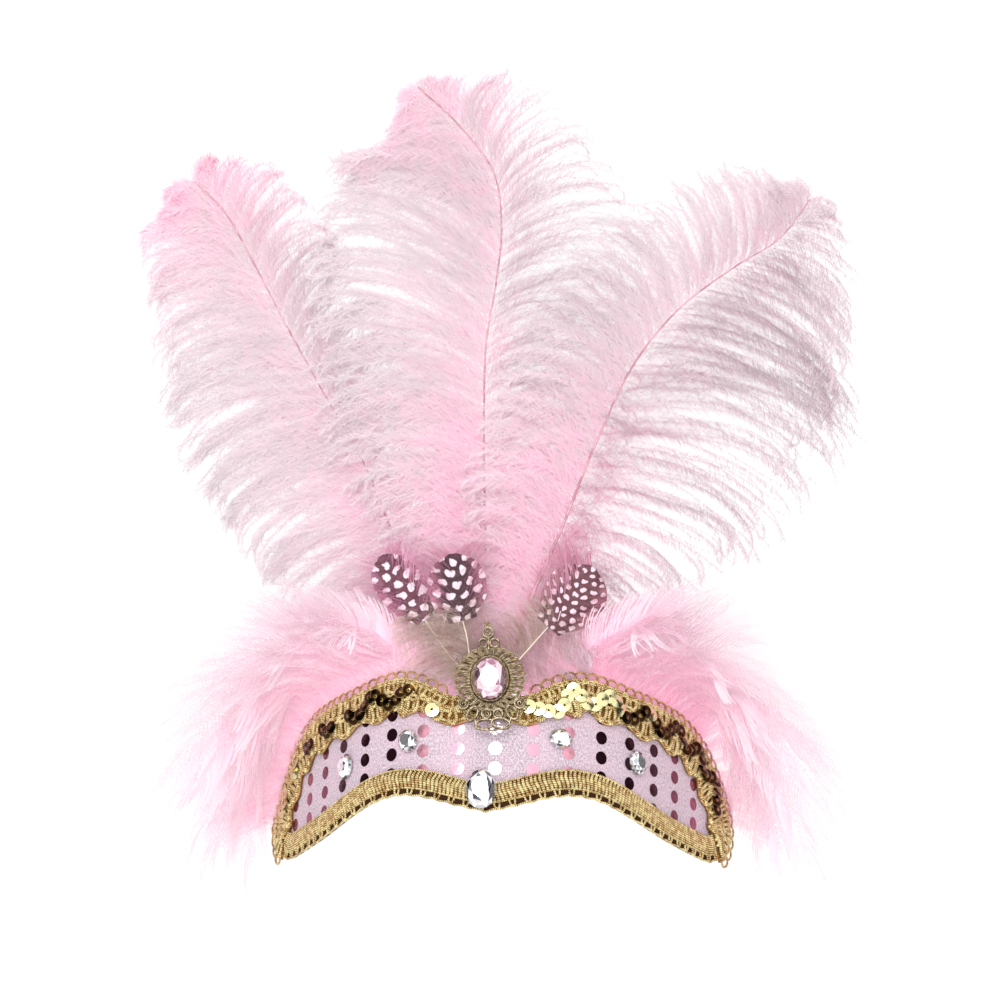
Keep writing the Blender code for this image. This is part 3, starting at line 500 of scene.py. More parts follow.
def feather_tree():
    """Flat tapering barbs along lines, each with fine barbules on both sides."""
    tree, given = geometry_tree("grow_barbs", {
        "Spacing": "Float", "Barbule Width": "Float", "Lean": "Float", "Scatter": "Float", "Seed": "Int",
        "Material": "Material"})
    start = given["Geometry"]

    def chance(low, high, shift):
        seed = given["Seed"] + shift
        return start.node("FunctionNodeRandomValue", {"data_type": "FLOAT"}, {2: low, 3: high, 8: seed}, 1)

    def vector(operation, first, second):
        slot = "Scale" if operation == "SCALE" else 1
        return start.node("ShaderNodeVectorMath", {"operation": operation}, {0: first, slot: second})

    curves = start.node("GeometryNodeMeshToCurve", inputs={0: start})
    flat = start.node("GeometryNodeCurvePrimitiveLine", inputs={"Start": (-1, 0, 0), "End": (1, 0, 0)})
    barbs = start.node("GeometryNodeCurveToMesh",
                       inputs={"Curve": curves, "Profile Curve": flat, "Scale": start.carried("thick")})
    points = start.node("GeometryNodeCurveToPoints", {"mode": "LENGTH"},
                        {"Curve": curves, "Length": given["Spacing"]})
    onward, across = points.out(1), points.out(2)
    side = chance(0.0, 1.0, 1).math("GREATER_THAN", 0.5) * math.pi
    roll = side + chance(-1.0, 1.0, 2) * given["Scatter"]
    outward = start.node("ShaderNodeVectorRotate", {"rotation_type": "AXIS_ANGLE"},
                         {"Vector": across, "Axis": onward, "Angle": roll})
    lean = given["Lean"] + chance(-0.3, 0.3, 3)
    way = vector("ADD", vector("SCALE", onward, lean.math("COSINE")),
                 vector("SCALE", outward, lean.math("SINE")))
    turn = start.node("FunctionNodeAlignRotationToVector", {"axis": "X"}, {"Vector": way})
    triangle = start.node("GeometryNodeMeshCircle", {"fill_type": "NGON"}, {"Vertices": 3, "Radius": 1.0})
    barbule = start.node("GeometryNodeTransform", inputs={
        "Geometry": triangle, "Translation": (1 / 3, 0, 0), "Scale": (2 / 3, 0.577, 1)})
    size = start.node("ShaderNodeCombineXYZ", inputs={
        0: start.carried("fluff") * chance(0.55, 1.25, 4), 1: given["Barbule Width"], 2: 1.0})
    placed = start.node("GeometryNodeInstanceOnPoints", inputs={
        "Points": points, "Instance": barbule, "Rotation": turn, "Scale": size})
    joined = start.node("GeometryNodeJoinGeometry", inputs={0: barbs})
    tree.links.new(placed.socket, joined.socket.node.inputs[0])
    close_tree(tree, joined, given["Material"])
    return tree


def grow_barbs(name, barbs, thick, finish, sizes):
    """Barbs with their barbules, from lines of points with the tint and fluff along each."""
    lines, tint, fluff = barbs
    source = lines_mesh(name, lines, thick=thick, tint=tint, fluff=fluff)
    spacing, width, lean, scatter, seed = sizes
    return grow(name, source, barb_tree, {
        "Spacing": spacing * MM, "Barbule Width": width * MM, "Lean": lean, "Scatter": scatter,
        "Seed": seed, "Material": finish.material})


def feather_finish(name, stops, through, glow=0.07):
    """Soft barbs: a patchy colour by the tint that the mesh carries, with light shining through.
    A slight glow stands in for light that fine down scatters many times."""
    made = Finish(name, {"Roughness": 0.65, "Specular IOR Level": 0.15})
    made.material.cycles.emission_sampling = "NONE"
    patches = made.place.noise(160, 2).between(0.3, 0.7, -0.12, 0.12)
    shade = made.attribute("tint") + patches
    colour = shade.ramp(stops)
    made.set({"Base Color": colour, "Emission Color": colour, "Emission Strength": glow})
    made.let_light_through(0.5, (*through, 1))
    return made


def frill_feathers(tips, hand, rng):
    """Barbs of the feathers along one tape: lines of points, with their tint and fluff."""
    tips = np.asarray(tips, float) * MM
    last = FRILL_SPINE - 1
    t = np.linspace(0, 1, FRILL_BARB_POINTS)
    lines, tints, fluffs = [], [], []
    for k in range(FRILL_FEATHERS):
        share = (k + 0.5) / FRILL_FEATHERS + rng.normal(0, 0.01)
        along = hand * (TAPE_FROM + (TAPE_TO - TAPE_FROM) * np.clip(share, 0, 1))
        tip = at(tips, np.clip(share, 0, 1) * (len(tips) - 1))
        tip = tip + rng.normal(0, TIP_SPREAD, 3) + np.array([0, BACK_ROW * (k % 2), 0])
        top = band_edge(along, "top")
        root, over, crest = [on_band(along, top + height, off) for height, off in
                             ((-TAPE_TOP, -(FELT + GAP) - TAPE_THICK / 2), FRILL_OVER, FRILL_CREST)]
        short = k % 3 == 2
        tip = crest + (tip - crest) * rng.uniform(*(SHORT_SHARE if short else LONG_SHARE))
        crest = crest + np.array([0, SHORT_RAISED * short, 0])
        bend = (crest + tip) / 2 + np.array([hand * FRILL_SWELL, rng.normal(0, 2 * MM), FRILL_SWELL])
        spine = smooth_path([root, over, crest, bend, tip], FRILL_SPINE)
        onward = unit(np.gradient(spine, axis=0))
        outside = unit(np.cross(onward, (0, 1, 0))) * -hand
        outside = unit(outside + 0.35 * rng.normal(0, 1) * unit(np.cross(outside, onward)))
        picks = np.linspace(BARE_QUILL, last, FRILL_BARBS)
        part = (picks - BARE_QUILL) / (last - BARE_QUILL)
        here, ahead = at(spine, picks), at(onward, picks)
        for sign in (-1, 1):
            aside = at(outside, picks) * sign
            wide = FRILL_HALF_WIDTH * np.interp(part, *FRILL_OUTLINE)
            wide = wide * rng.uniform(0.86, 1.08, FRILL_BARBS)
            split = np.repeat(rng.normal(0, 0.10, FRILL_BARBS // FRILL_TUFT), FRILL_TUFT)
            angle = np.radians(np.interp(part, *FRILL_ANGLES)) + split
            run = wide[:, None] / np.maximum(np.sin(angle), 0.5)[:, None] * t
            bent = angle[:, None] - 0.35 * t
            line = (here[:, None] + ahead[:, None] * (run * np.cos(bent))[..., None]
                    + aside[:, None] * (run * np.sin(bent))[..., None])
            line += rng.normal(0, 0.45 * MM, (FRILL_BARBS, 1, 3)) * t[:, None] ** 2
            lines.append(line)
            tints.append(np.clip(0.76 - 0.48 * part[:, None] - 0.24 * t, 0, 1) + rng.normal(0, 0.08))
            fluffs.append((1.0 + 4.4 * (1 - part[:, None]) ** 2.5) * MM * (1.1 - 0.6 * t))
    for grown, part in zip((lines, tints, fluffs), edge_down(hand, t, rng)):
        grown.append(part)
    return np.concatenate(lines), np.concatenate(tints), np.concatenate(fluffs)


def edge_down(hand, t, rng):
    """Loose down along the band's upper edge, which turns outwards and down past its end."""
    share = rng.uniform(0, 1, EDGE_DOWN) ** 0.75
    along = hand * (DOWN_FROM + (DOWN_TO - DOWN_FROM) * share)
    slope = (band_edge(along + 1 * MM, "top") - band_edge(along - 1 * MM, "top")) / (2 * MM)
    run = rng.uniform(*DOWN_LENGTH, EDGE_DOWN)[:, None] * MM * t
    turn = np.interp(along, PLAN_S, PLAN_TURN)
    beside = tilted(np.cos(turn), np.sin(turn), 0 * turn)
    above = tilted(0 * turn, 0 * turn, 1 + 0 * turn)
    way = unit(above - beside * slope[:, None]) + hand * beside * rng.uniform(-0.2, 0.6, (EDGE_DOWN, 1))
    way = unit(way) + facing(along) * (rng.uniform(0.1, 0.7, EDGE_DOWN) * np.abs(along) / TAPE_TO)[:, None]
    outer = np.clip((np.abs(along) - FALL_FROM) / FALL_OVER, 0, 1)[:, None]
    way = way + outer * (facing(along) * rng.uniform(0.2, 1.0, (EDGE_DOWN, 1)) - 0.8 * above)
    run = run * (1 + 0.35 * outer)
    foot = on_band(along, band_edge(along, "top") - 4 * MM, -(FELT + 1.2 * MM))
    line = foot[:, None] + unit(way)[:, None] * run[..., None]
    line -= facing(along)[:, None] * (2 * MM * t * (1 - t))[:, None]
    line += rng.normal(0, 2.5 * MM, (EDGE_DOWN, 1, 3)) * (t[:, None] ** 2)
    tint = rng.uniform(0.7, 0.95, (EDGE_DOWN, 1)) - 0.3 * t
    return line, tint, (7.0 - 2.5 * t) * MM * np.ones((EDGE_DOWN, 1))


def tape(name, hand, finish):
    """The woven tape that the side feathers' quills are sewn to, flat behind the felt."""
    along = hand * np.linspace(TAPE_FROM, TAPE_TO, 40)
    top = band_edge(along, "top") - TAPE_TOP
    front = -(FELT + GAP)
    back = front - TAPE_THICK
    corners = (0, front), (0, back), (-TAPE_HEIGHT, back), (-TAPE_HEIGHT, front)
    rings = np.stack([on_band(along, top + height, off) for height, off in corners], axis=1)
    marks = np.stack([together(along, top + height) for height, off in corners], axis=1)
    return skin(name, rings, marks, finish)


barb_tree = feather_tree()
frill_finish = feather_finish("soft_pink_feather", [
    (0.0, (0.80, 0.77, 0.79)), (0.35, (0.90, 0.78, 0.83)), (0.7, (1.0, 0.78, 0.87)),
    (1.0, (0.96, 0.64, 0.77))], (0.99, 0.88, 0.92), 0.16)
cotton = Finish("sewing_tape", {"Roughness": 0.9})
u, v = cotton.uv()
cotton.set({"Base Color": cotton.place.noise(300).tint((0.86, 0.66, 0.75), (0.93, 0.78, 0.85)),
            "Normal": (u.ripple(0.8 * MM) * v.ripple(0.6 * MM)).relief(0.12 * MM)})
for seed, (name, tips) in enumerate(FRILL_TIPS.items()):
    hand = -1 if name.startswith("left") else 1
    barbs = frill_feathers(tips, hand, np.random.default_rng(40 + seed))
    thick = FRILL_THICK * np.linspace(1, 0.4, FRILL_BARB_POINTS)
    belongs(grow_barbs(name + "_fluff", barbs, thick, frill_finish, (0.85, 0.3, 0.7, 0.8, seed)),
            "side_feathers", name)
    belongs(tape(name + "_tape", hand, cotton), "side_feathers")

# Ostrich plumes: three big pale pink plumes, each a tapering shaft with long soft barbs that carry finer
# barbules. Their quills are sewn behind the felt, and they lean back from the head as a cupped fan.

FAN_FOOT, FAN_BACK = 47 * MM, -86 * MM
FAN_LEAN, FAN_STRAIGHTEN = 0.29, 0.7
FAN_CUP, HEAD_CUP, FAN_FLATTEN = 1.0, 8.0, 40 * MM
FAN_SPREAD_RISE = 25 * MM
QUILL_FOOT, QUILL_TIP = 1.3 * MM, 0.32 * MM
QUILL_SEWN = (-6, 6, 17)
REACH_AT = [0.1, 0.25, 0.4, 0.55, 0.7, 0.85, 1.0]
PLUMES = {
    "left_plume": {
        "foot": -11, "layer": 12, "blush": 1.0, "buried": 1.0, "curl": 1.9, "wisps": 0.55, "loose": 1.0,
        "barbs": {"left": 250, "right": 240},
        "shaft": [(-19.5, 66), (-36, 101), (-53, 139), (-67, 162), (-83, 190), (-96, 214), (-108, 234),
                  (-119, 245)],
        "reach": {"left": [30, 52, 64, 66, 56, 44, 27],
                  "right": [24, 36, 44, 44, 38, 34, 22]},
    },
    "centre_plume": {
        "foot": -1.5, "layer": 6, "blush": 0.75, "buried": 0.8, "curl": 0.9, "wisps": 0.3, "loose": 0.55,
        "barbs": {"left": 250, "right": 245},
        "shaft": [(-2.2, 77), (-3.2, 110), (-4.2, 149), (-3.4, 183), (0, 204), (2, 227), (-0.6, 245),
                  (-14, 264), (-30, 279)],
        "reach": {"left": [24, 44, 64, 72, 70, 54, 16],
                  "right": [24, 42, 60, 62, 54, 34, 9]},
    },
    "right_plume": {
        "foot": 7, "layer": 0, "blush": 0.3, "buried": 0.2, "curl": 0.95, "wisps": 0.3, "loose": 1.0,
        "barbs": {"left": 205, "right": 238},
        "shaft": [(11, 72), (27, 113), (40, 146), (53, 173), (68, 192), (91, 210), (108, 221), (119.6, 236)],
        "reach": {"left": [22, 38, 44, 44, 42, 36, 18],
                  "right": [30, 54, 80, 86, 74, 46, 20]},
    },
}
SHAFT_POINTS = 301
BARBS_FROM, FULL_BARBS_FROM = 55 * MM, 76 * MM
BARB_POINTS, DOWN_BARBS = 17, 70
BARB_THICK, BARB_BACK, BARB_LIFT, BARB_WAVE, BARB_SUNK = 0.22 * MM, 0.8 * MM, 4 * MM, 1.2 * MM, 2.4 * MM
CORE_UP, CORE_HALF = 0.11, 0.06
CURL_FROM, WISP_BARBS = 0.72, 7
BARB_ANGLE_BASE, BARB_ANGLE_TIP = math.radians(102), math.radians(60)
BARB_DROOP = math.radians(55)


def fan_depth(x, z, layer):
    """Depth of a layer of the fan at a place seen from the front."""
    rise = np.maximum(z - FAN_FOOT, 0)
    lean = FAN_LEAN * rise - FAN_STRAIGHTEN * rise ** 2
    cup = FAN_CUP + HEAD_CUP * np.exp(-rise / FAN_FLATTEN)
    return FAN_BACK + lean + cup * x * x + layer * (1 - np.exp(-rise / FAN_SPREAD_RISE))


def plume_path(plume):
    """The shaft's path, from its sewn foot behind the felt to its tip."""
    layer = plume["layer"] * MM
    behind = -(FELT + 2 * GAP + QUILL_FOOT)
    foot = [on_band(plume["foot"] * MM, height * MM, behind) for height in QUILL_SEWN]
    x, z = np.array(plume["shaft"], float).T * MM
    return smooth_path(np.vstack([foot, together(x, fan_depth(x, z, layer), z)]), SHAFT_POINTS)


def walk(angles, reach):
    """Lines of equal steps that turn as the angles say: how far each point is onward and aside."""
    step = reach / (angles.shape[1] - 1)
    steps = together(np.cos(angles), np.sin(angles)) * step[..., None]
    return np.concatenate([0 * steps[:, :1], np.cumsum(steps, axis=1)[:, :-1]], axis=1)


def in_fan(here, run, layer, back, lift):
    """Lines that leave the shaft at the places here and follow the fan's curve."""
    x, z = here[:, 0, None] + run[..., 0], here[:, 2, None] + run[..., 1]
    shift = (here[:, 1] - fan_depth(here[:, 0], here[:, 2], layer))[:, None]
    return together(x, fan_depth(x, z, layer) + (shift + back) + lift, z)


def plume_barbs(plume, path, rng):
    """All barbs of a plume as lines of points, with tint and fluff along each."""
    layer, last = plume["layer"] * MM, SHAFT_POINTS - 1
    lowest, first = [int(np.argmax(path[:, 2] > height)) for height in (BARBS_FROM, FULL_BARBS_FROM)]
    onward = np.gradient(path, axis=0)
    t = np.linspace(0, 1, BARB_POINTS)
    lines, tints, fluffs = [], [], []
    for side, sign in (("left", 1), ("right", -1)):
        count = plume["barbs"][side]
        picks = np.clip(np.linspace(lowest, last, count) + rng.normal(0, 0.3, count), lowest, last)
        along = np.clip((picks - first) / (last - first), 0, 1)
        here, ahead = at(path, picks), at(onward, picks)
        reach = smooth(REACH_AT, plume["reach"][side], 0.1 + 0.9 * along) * MM
        reach = reach * rng.uniform(0.86, 1.15, count) * np.interp(along, [0, 0.86, 1], [1, 1, 0.5])
        start = BARB_ANGLE_BASE + (BARB_ANGLE_TIP - BARB_ANGLE_BASE) * along - BARB_DROOP / 2
        start = start + plume["loose"] * rng.normal(0, 0.05, count)
        droop = BARB_DROOP * (1 + plume["loose"] * rng.uniform(-0.25, 0.3, count))
        curl = plume["curl"] * rng.gamma(1.3, 0.75, count) * np.where(rng.random(count) < 0.8, 1, -0.7)
        wave = rng.uniform(0, FULL_TURN, count)[:, None]
        curled = curl[:, None] * (np.clip(t - CURL_FROM, 0, 1) / (1 - CURL_FROM)) ** 2
        turned = start[:, None] + droop[:, None] * t + curled + 0.12 * np.sin(FULL_TURN * 1.4 * t + wave)
        heading = np.arctan2(ahead[:, 2], ahead[:, 0])[:, None]
        run = walk(heading + sign * turned, reach[:, None])
        lift = plume["loose"] * rng.normal(0, BARB_LIFT, count)[:, None] * t ** 1.5
        lift = lift + BARB_WAVE * np.sin(FULL_TURN * 1.1 * t + 2 * wave) * t
        sunk = BARB_SUNK * plume["buried"] * np.clip(1.15 - 1.4 * along[:, None], 0, 1)
        line = in_fan(here, run, layer, BARB_BACK - sunk, lift)
        group = np.cumsum(rng.random(count) < 1 / WISP_BARBS)
        for g in np.unique(group):
            wisp = line[group == g]
            line[group == g] += (wisp.mean(axis=0) - wisp) * (plume["wisps"] * t ** 3)[:, None]
        lines.append(line)
        low = 1 - along[:, None]
        blush = plume["blush"] * np.clip((along[:, None] - 0.62) / 0.38, 0, 1) * (0.2 + 0.8 * t)
        core = np.exp(-((line[..., 0] / CORE_HALF) ** 2 + ((line[..., 2] - CORE_UP) / CORE_HALF) ** 2))
        tint = 0.31 - 0.28 * t + 0.06 * low + 0.36 * core + 0.9 * blush
        tints.append(np.clip(tint + rng.normal(0, 0.05, (count, 1)), 0, 1))
        soft = np.clip(t / 0.13, 0, 1) * (1 - low) + low
        fluffs.append((1.2 + 8.0 * soft * (1 - 0.72 * t)) * MM * np.ones((count, 1)))
    count = 2 * DOWN_BARBS
    here = at(path, rng.uniform(lowest - 12, first + 26, count))
    sign = np.repeat([-1, 1], DOWN_BARBS)[:, None]
    reach = rng.uniform(20, 36, count)[:, None] * MM
    run = walk(math.radians(90) - sign * (rng.uniform(0.35, 1.5, count)[:, None] + 0.6 * t), reach)
    lines.append(in_fan(here, run, layer, BARB_BACK, rng.uniform(-3, 3, count)[:, None] * MM * t))
    tints.append(rng.uniform(0.55, 0.8, (count, 1)) - 0.15 * t)
    fluffs.append((5.5 - 2.0 * t) * MM * np.ones((count, 1)))
    return np.concatenate(lines), np.concatenate(tints), np.concatenate(fluffs)


def cord_tree():
    """Round cords along lines, as thick as their points say, with marks for a wound yarn."""
    tree, given = geometry_tree("lay_cords", {"Sides": "Int", "Material": "Material"})
    start = given["Geometry"]
    curves = start.node("GeometryNodeMeshToCurve", inputs={0: start})
    curves = curves.carry("run", start.node("GeometryNodeSplineParameter", output="Length"))
    circle = start.node("GeometryNodeCurvePrimitiveCircle",
                        inputs={"Resolution": given["Sides"], "Radius": 1.0})
    circle = circle.carry("side", start.node("GeometryNodeInputPosition"), "FLOAT_VECTOR")
    tubes = start.node("GeometryNodeCurveToMesh", inputs={
        "Curve": curves, "Profile Curve": circle, "Scale": start.carried("thick"), "Fill Caps": True})
    smoothed = start.node("GeometryNodeSetShadeSmooth", inputs={0: tubes})
    close_tree(tree, smoothed, given["Material"])
    return tree


def lay_cords(name, lines, thick, finish, slot, sides=6, closed=False):
    """Cords or wires along lines, as one piece that rides on the headband."""
    source = lines_mesh(name, np.asarray(lines), closed=closed, thick=thick)
    belongs(grow(name, source, cords, {"Sides": sides, "Material": finish.material}), slot)


def mottled(name, sockets, patches, dark, light, grain):
    """A finish with patches of two shades and a fine uneven surface."""
    made = Finish(name, sockets)
    scale, detail, low, high = patches
    made.set({"Base Color": made.place.noise(scale, detail).between(low, high).tint(dark, light),
              "Normal": made.place.noise(grain[0]).relief(grain[1] * MM)})
    return made


plume_finish = feather_finish("ostrich_barbs", [
    (0.0, (0.77, 0.76, 0.77)), (0.35, (0.86, 0.78, 0.81)), (0.7, (1.0, 0.74, 0.85)),
    (1.0, (0.88, 0.44, 0.58))], (0.97, 0.88, 0.91), 0.08)
shaft_finish = mottled("plume_shaft", {"Roughness": 0.45}, (220, 2, 0.35, 0.65), (0.46, 0.20, 0.25),
                       (0.66, 0.38, 0.44), (2500, 0.05))
cords = cord_tree()
for seed, (name, plume) in enumerate(PLUMES.items()):
    path = plume_path(plume)
    barbs = plume_barbs(plume, path, np.random.default_rng(10 + seed))
    thick = BARB_THICK * np.linspace(1, 0.35, BARB_POINTS)
    belongs(grow_barbs(name + "_barbs", barbs, thick, plume_finish, (0.172, 0.36, 0.85, 1.1, 10 * seed)),
            "pink_plume", name)
    taper = QUILL_TIP + (QUILL_FOOT - QUILL_TIP) * np.linspace(1, 0, SHAFT_POINTS) ** 3
    lay_cords(name + "_shaft", path[None, ::3], taper[None, ::3], shaft_finish, "pink_plume", sides=10)

# Spotted feathers: three small guinea-fowl feathers with light dots, a cream quill and grey-brown down
# at the base. They stand behind the brooch, in front of the plumes.

SPOTTED_OFF, SPOTTED_FRONT, SPOTTED_THICK = 3.4 * MM, -6.4 * MM, 0.35 * MM
SPOTTED_POINTS, BLADE_FROM = 61, 0.53
DOWN_SPAN, DOWN_COUNT, DOWN_THICK, DOWN_POINTS = (0.10, 0.60), 100, 0.07 * MM, 9
DOWN_WIDE = [9, 15, 17, 15, 9]
FRINGE_SPAN, FRINGE_COUNT, FRINGE_THICK, FRINGE_POINTS = (0.54, 0.99), 120, 0.24 * MM, 6
FRINGE_PAST, FRINGE_OFF = (1.65, 3.6), np.array([0, 0.2 * MM, 0])
WIDTH_AT = [0, 0.5, 0.56, 0.64, 0.76, 0.88, 0.95, 1]
SPOTTED = {
    "left_spotted_feather": {
        "foot": -7.5, "layer": 0, "spine": [(-15.4, 63.6), (-23, 74), (-30, 84), (-36, 91), (-42, 100)],
        "half": [2, 4, 5, 7.6, 9, 8.4, 6, 1.5], "dot": 4.5, "ground": (0.17, 0.05, 0.08),
        "rim": (0.62, 0.26, 0.38), "spot": (0.93, 0.76, 0.84), "centre": 0.6,
    },
    "middle_spotted_feather": {
        "foot": -3, "layer": -2.2, "spine": [(-6.3, 60.2), (-8.4, 70), (-11, 80), (-12.6, 90), (-14.2, 101)],
        "half": [2, 5, 6, 9.4, 11, 10, 7, 1.5], "dot": 4.5, "ground": (0.075, 0.028, 0.04),
        "rim": (0.50, 0.20, 0.28), "spot": (0.92, 0.72, 0.80), "centre": 0.75,
    },
    "right_spotted_feather": {
        "foot": 5, "layer": 0, "spine": [(10.4, 60.9), (17, 68.4), (24, 76.5), (31, 85), (38, 96)],
        "half": [2, 5, 6, 9.6, 11.6, 10.6, 7, 1.5], "dot": 3.1, "ground": (0.16, 0.055, 0.07),
        "rim": (0.45, 0.20, 0.24), "spot": (0.90, 0.68, 0.76), "centre": 0.85,
    },
}


def spotted_path(feather):
    """The spine, from its foot in front of the band to its tip."""
    layer = feather["layer"] * MM
    way = [on_band(feather["foot"] * MM * scale, height * MM, SPOTTED_OFF)
           for scale, height in ((0.9, 20.0), (1.1, 27.0))]
    x, z = np.array(feather["spine"], float).T * MM
    way += list(together(x, fan_depth(x, z, layer) + SPOTTED_FRONT, z))
    return smooth_path(way, SPOTTED_POINTS)


def spotted_blade(name, feather, path, finish):
    """The blade: a thin closed skin, bent back a little from its spine."""
    last = SPOTTED_POINTS - 1
    picks = np.linspace(BLADE_FROM, 1.0, 30)
    spine = at(path, picks * last)
    left = unit(np.cross(at(np.gradient(path, axis=0), picks * last), (0, 1, 0)))
    half = smooth(WIDTH_AT, feather["half"], picks) * MM
    share = np.linspace(-1, 1, 13)
    across = np.concatenate([share, share[::-1]])
    rows = []
    for s, thick in zip(across, np.repeat([-SPOTTED_THICK, SPOTTED_THICK], len(share))):
        bent = 10 * (half * s) ** 2 + thick * (1 - 0.9 * abs(s) ** 6)
        rows.append(spine + left * (half * s)[:, None] + together(0, bent, 0))
    length = 2 * np.linalg.norm(path[-1] - path[last // 2])
    up = (picks * length)[:, None]
    return skin(name, np.stack(rows, axis=1), together(half[:, None] * across, up), finish)


def side_barbs(path, span, count, wide, angle, curl, rng, steps):
    """Barbs that leave both sides of a spine between two shares of its length."""
    picks = np.tile(np.linspace(*span, count), 2) * (len(path) - 1)
    sign = np.repeat([-1, 1], count)[:, None]
    ahead = unit(at(np.gradient(path, axis=0), picks))
    left = unit(np.cross(ahead, (0, 1, 0)))
    t = np.linspace(0, 1, steps)
    reach = np.interp(picks / (len(path) - 1), np.linspace(*span, len(wide)), wide) * MM
    reach = reach * rng.uniform(0.75, 1.15, 2 * count)
    turned = angle + rng.normal(0, 0.15, 2 * count)[:, None]
    turned = turned + curl * t * rng.uniform(0.3, 1.4, 2 * count)[:, None]
    run = walk(turned, reach[:, None])
    depth = rng.normal(0, 1.0 * MM, 2 * count)[:, None] * t
    onward, aside = run[..., 0, None], (run[..., 1] * sign)[..., None]
    line = at(path, picks)[:, None] + ahead[:, None] * onward + left[:, None] * aside
    return line + depth[..., None] * np.array([0, 1, 0])


def dotted_finish(name, feather):
    """The blade's dark ground with light dots in staggered slanting rows, each in a darker ring."""
    made = Finish(name, {"Roughness": 0.6})
    u, v = made.uv()
    size = feather["dot"] * MM
    u = u + (made.place.noise(230) - 0.5) * size
    v = v + (made.place.noise(310) - 0.5) * size
    side = u.math("ABSOLUTE")
    slant = (v - side * 0.3) / size
    column = u / (size * 1.15) + slant.math("FLOOR") * 0.5
    near, high = column.math("FRACT") - 0.5, slant.math("FRACT") - 0.5
    distance = (near * near + high * high).math("POWER", 0.5) + (made.place.noise(500) * 0.12 - 0.06)
    spots, ring = distance.between(0.24, 0.36, 1, 0), distance.between(0.34, 0.46, 0.5, 0)
    edge = (side / (10 * MM)).between(feather["centre"] * 0.6, 1.0)
    ground = ring.tint(edge.tint(feather["ground"], feather["rim"]), (0.03, 0.012, 0.015))
    made.set({"Base Color": spots.tint(ground, feather["spot"]),
              "Normal": (v - side * 0.7).ripple(0.45 * MM).relief(0.06 * MM)})
    return made


quill_finish = Finish("cream_quill", {"Roughness": 0.4})
quill_finish.set({"Base Color": quill_finish.place.noise(300).tint((0.62, 0.50, 0.38), (0.86, 0.78, 0.66))})
down_finish = feather_finish("grey_down", [(0.0, (0.90, 0.83, 0.77)), (0.5, (0.60, 0.48, 0.42)),
                                           (1.0, (0.33, 0.21, 0.18))], (0.74, 0.62, 0.55), 0.0)
for seed, (name, feather) in enumerate(SPOTTED.items()):
    rng = np.random.default_rng(70 + seed)
    path = spotted_path(feather)
    belongs(spotted_blade(name + "_blade", feather, path, dotted_finish(name + "_vane", feather)),
            "spotted_feather", name)
    lay_cords(name + "_quill", path[None], np.linspace(0.42, 0.12, SPOTTED_POINTS) * MM, quill_finish,
              "spotted_feather", sides=8)
    lines = side_barbs(path, DOWN_SPAN, DOWN_COUNT, DOWN_WIDE, 0.9, 0.9, rng, DOWN_POINTS)
    barbs = lines, rng.uniform(0, 0.8, (len(lines), 1)), np.linspace(2.6, 1.2, DOWN_POINTS) * MM
    thick = DOWN_THICK * np.linspace(1, 0.4, DOWN_POINTS)
    belongs(grow_barbs(name + "_down", barbs, thick, down_finish, (0.22, 0.12, 0.8, 1.4, 90 + seed)),
            "spotted_feather")
    fringe_finish = feather_finish(name + "_fringe", [(0.0, feather["rim"]), (1.0, (0.85, 0.5, 0.66))],
                                   feather["spot"])
    wide = [half * FRINGE_PAST[0] + FRINGE_PAST[1] for half in feather["half"][2:]]
    lines = side_barbs(path, FRINGE_SPAN, FRINGE_COUNT, wide, 0.75, 0.2, rng, FRINGE_POINTS) + FRINGE_OFF
    barbs = lines, rng.uniform(0, 1, (len(lines), 1)), 0.9 * MM
    thick = FRINGE_THICK * np.linspace(1, 0.3, FRINGE_POINTS)
    belongs(grow_barbs(name + "_fringe", barbs, thick, fringe_finish, (0.3, 0.1, 0.6, 0.5, 95 + seed)),
            "spotted_feather")

# Upper braid: gold gimp, a flat ground of yarn with scrolls of cord laid on it. Its lower edge is
# scalloped, and small loops of thin cord stand along its outer edge, but not beside the brooch.

BRAID_THICK = 2.5 * MM
UPPER_BRAID_WIDTH, UPPER_BRAID_GROWTH = 13.6 * MM, 2.4 * MM
SCALLOP_LENGTH, SCALLOP_DEPTH, FIRST_SCALLOP = 18.6 * MM, 1.5 * MM, 31 * MM
LOOP_PITCH, LOOP_HEIGHT, LOOP_HALF_WIDTH, LOOP_FREE_HALF = 4.6 * MM, 2.9 * MM, 2.75 * MM, 17 * MM
SCROLL_PITCH, SCROLL_SWAY, SCROLL_RISE, SCROLL_CORD = 4.5 * MM, 2.3 * MM, 0.45 * MM, 0.7 * MM
SCROLL_ROWS = [(0.30, 1), (0.70, -1)]
EDGE_CORD, LOOP_CORD = 0.5 * MM, 0.42 * MM
BRAID_GROUND = GAP + 1.3 * MM
BRAID_END = [(127.4, -14), (127, -18), (125.6, -22), (123.6, -25), (120.6, -27.2)]


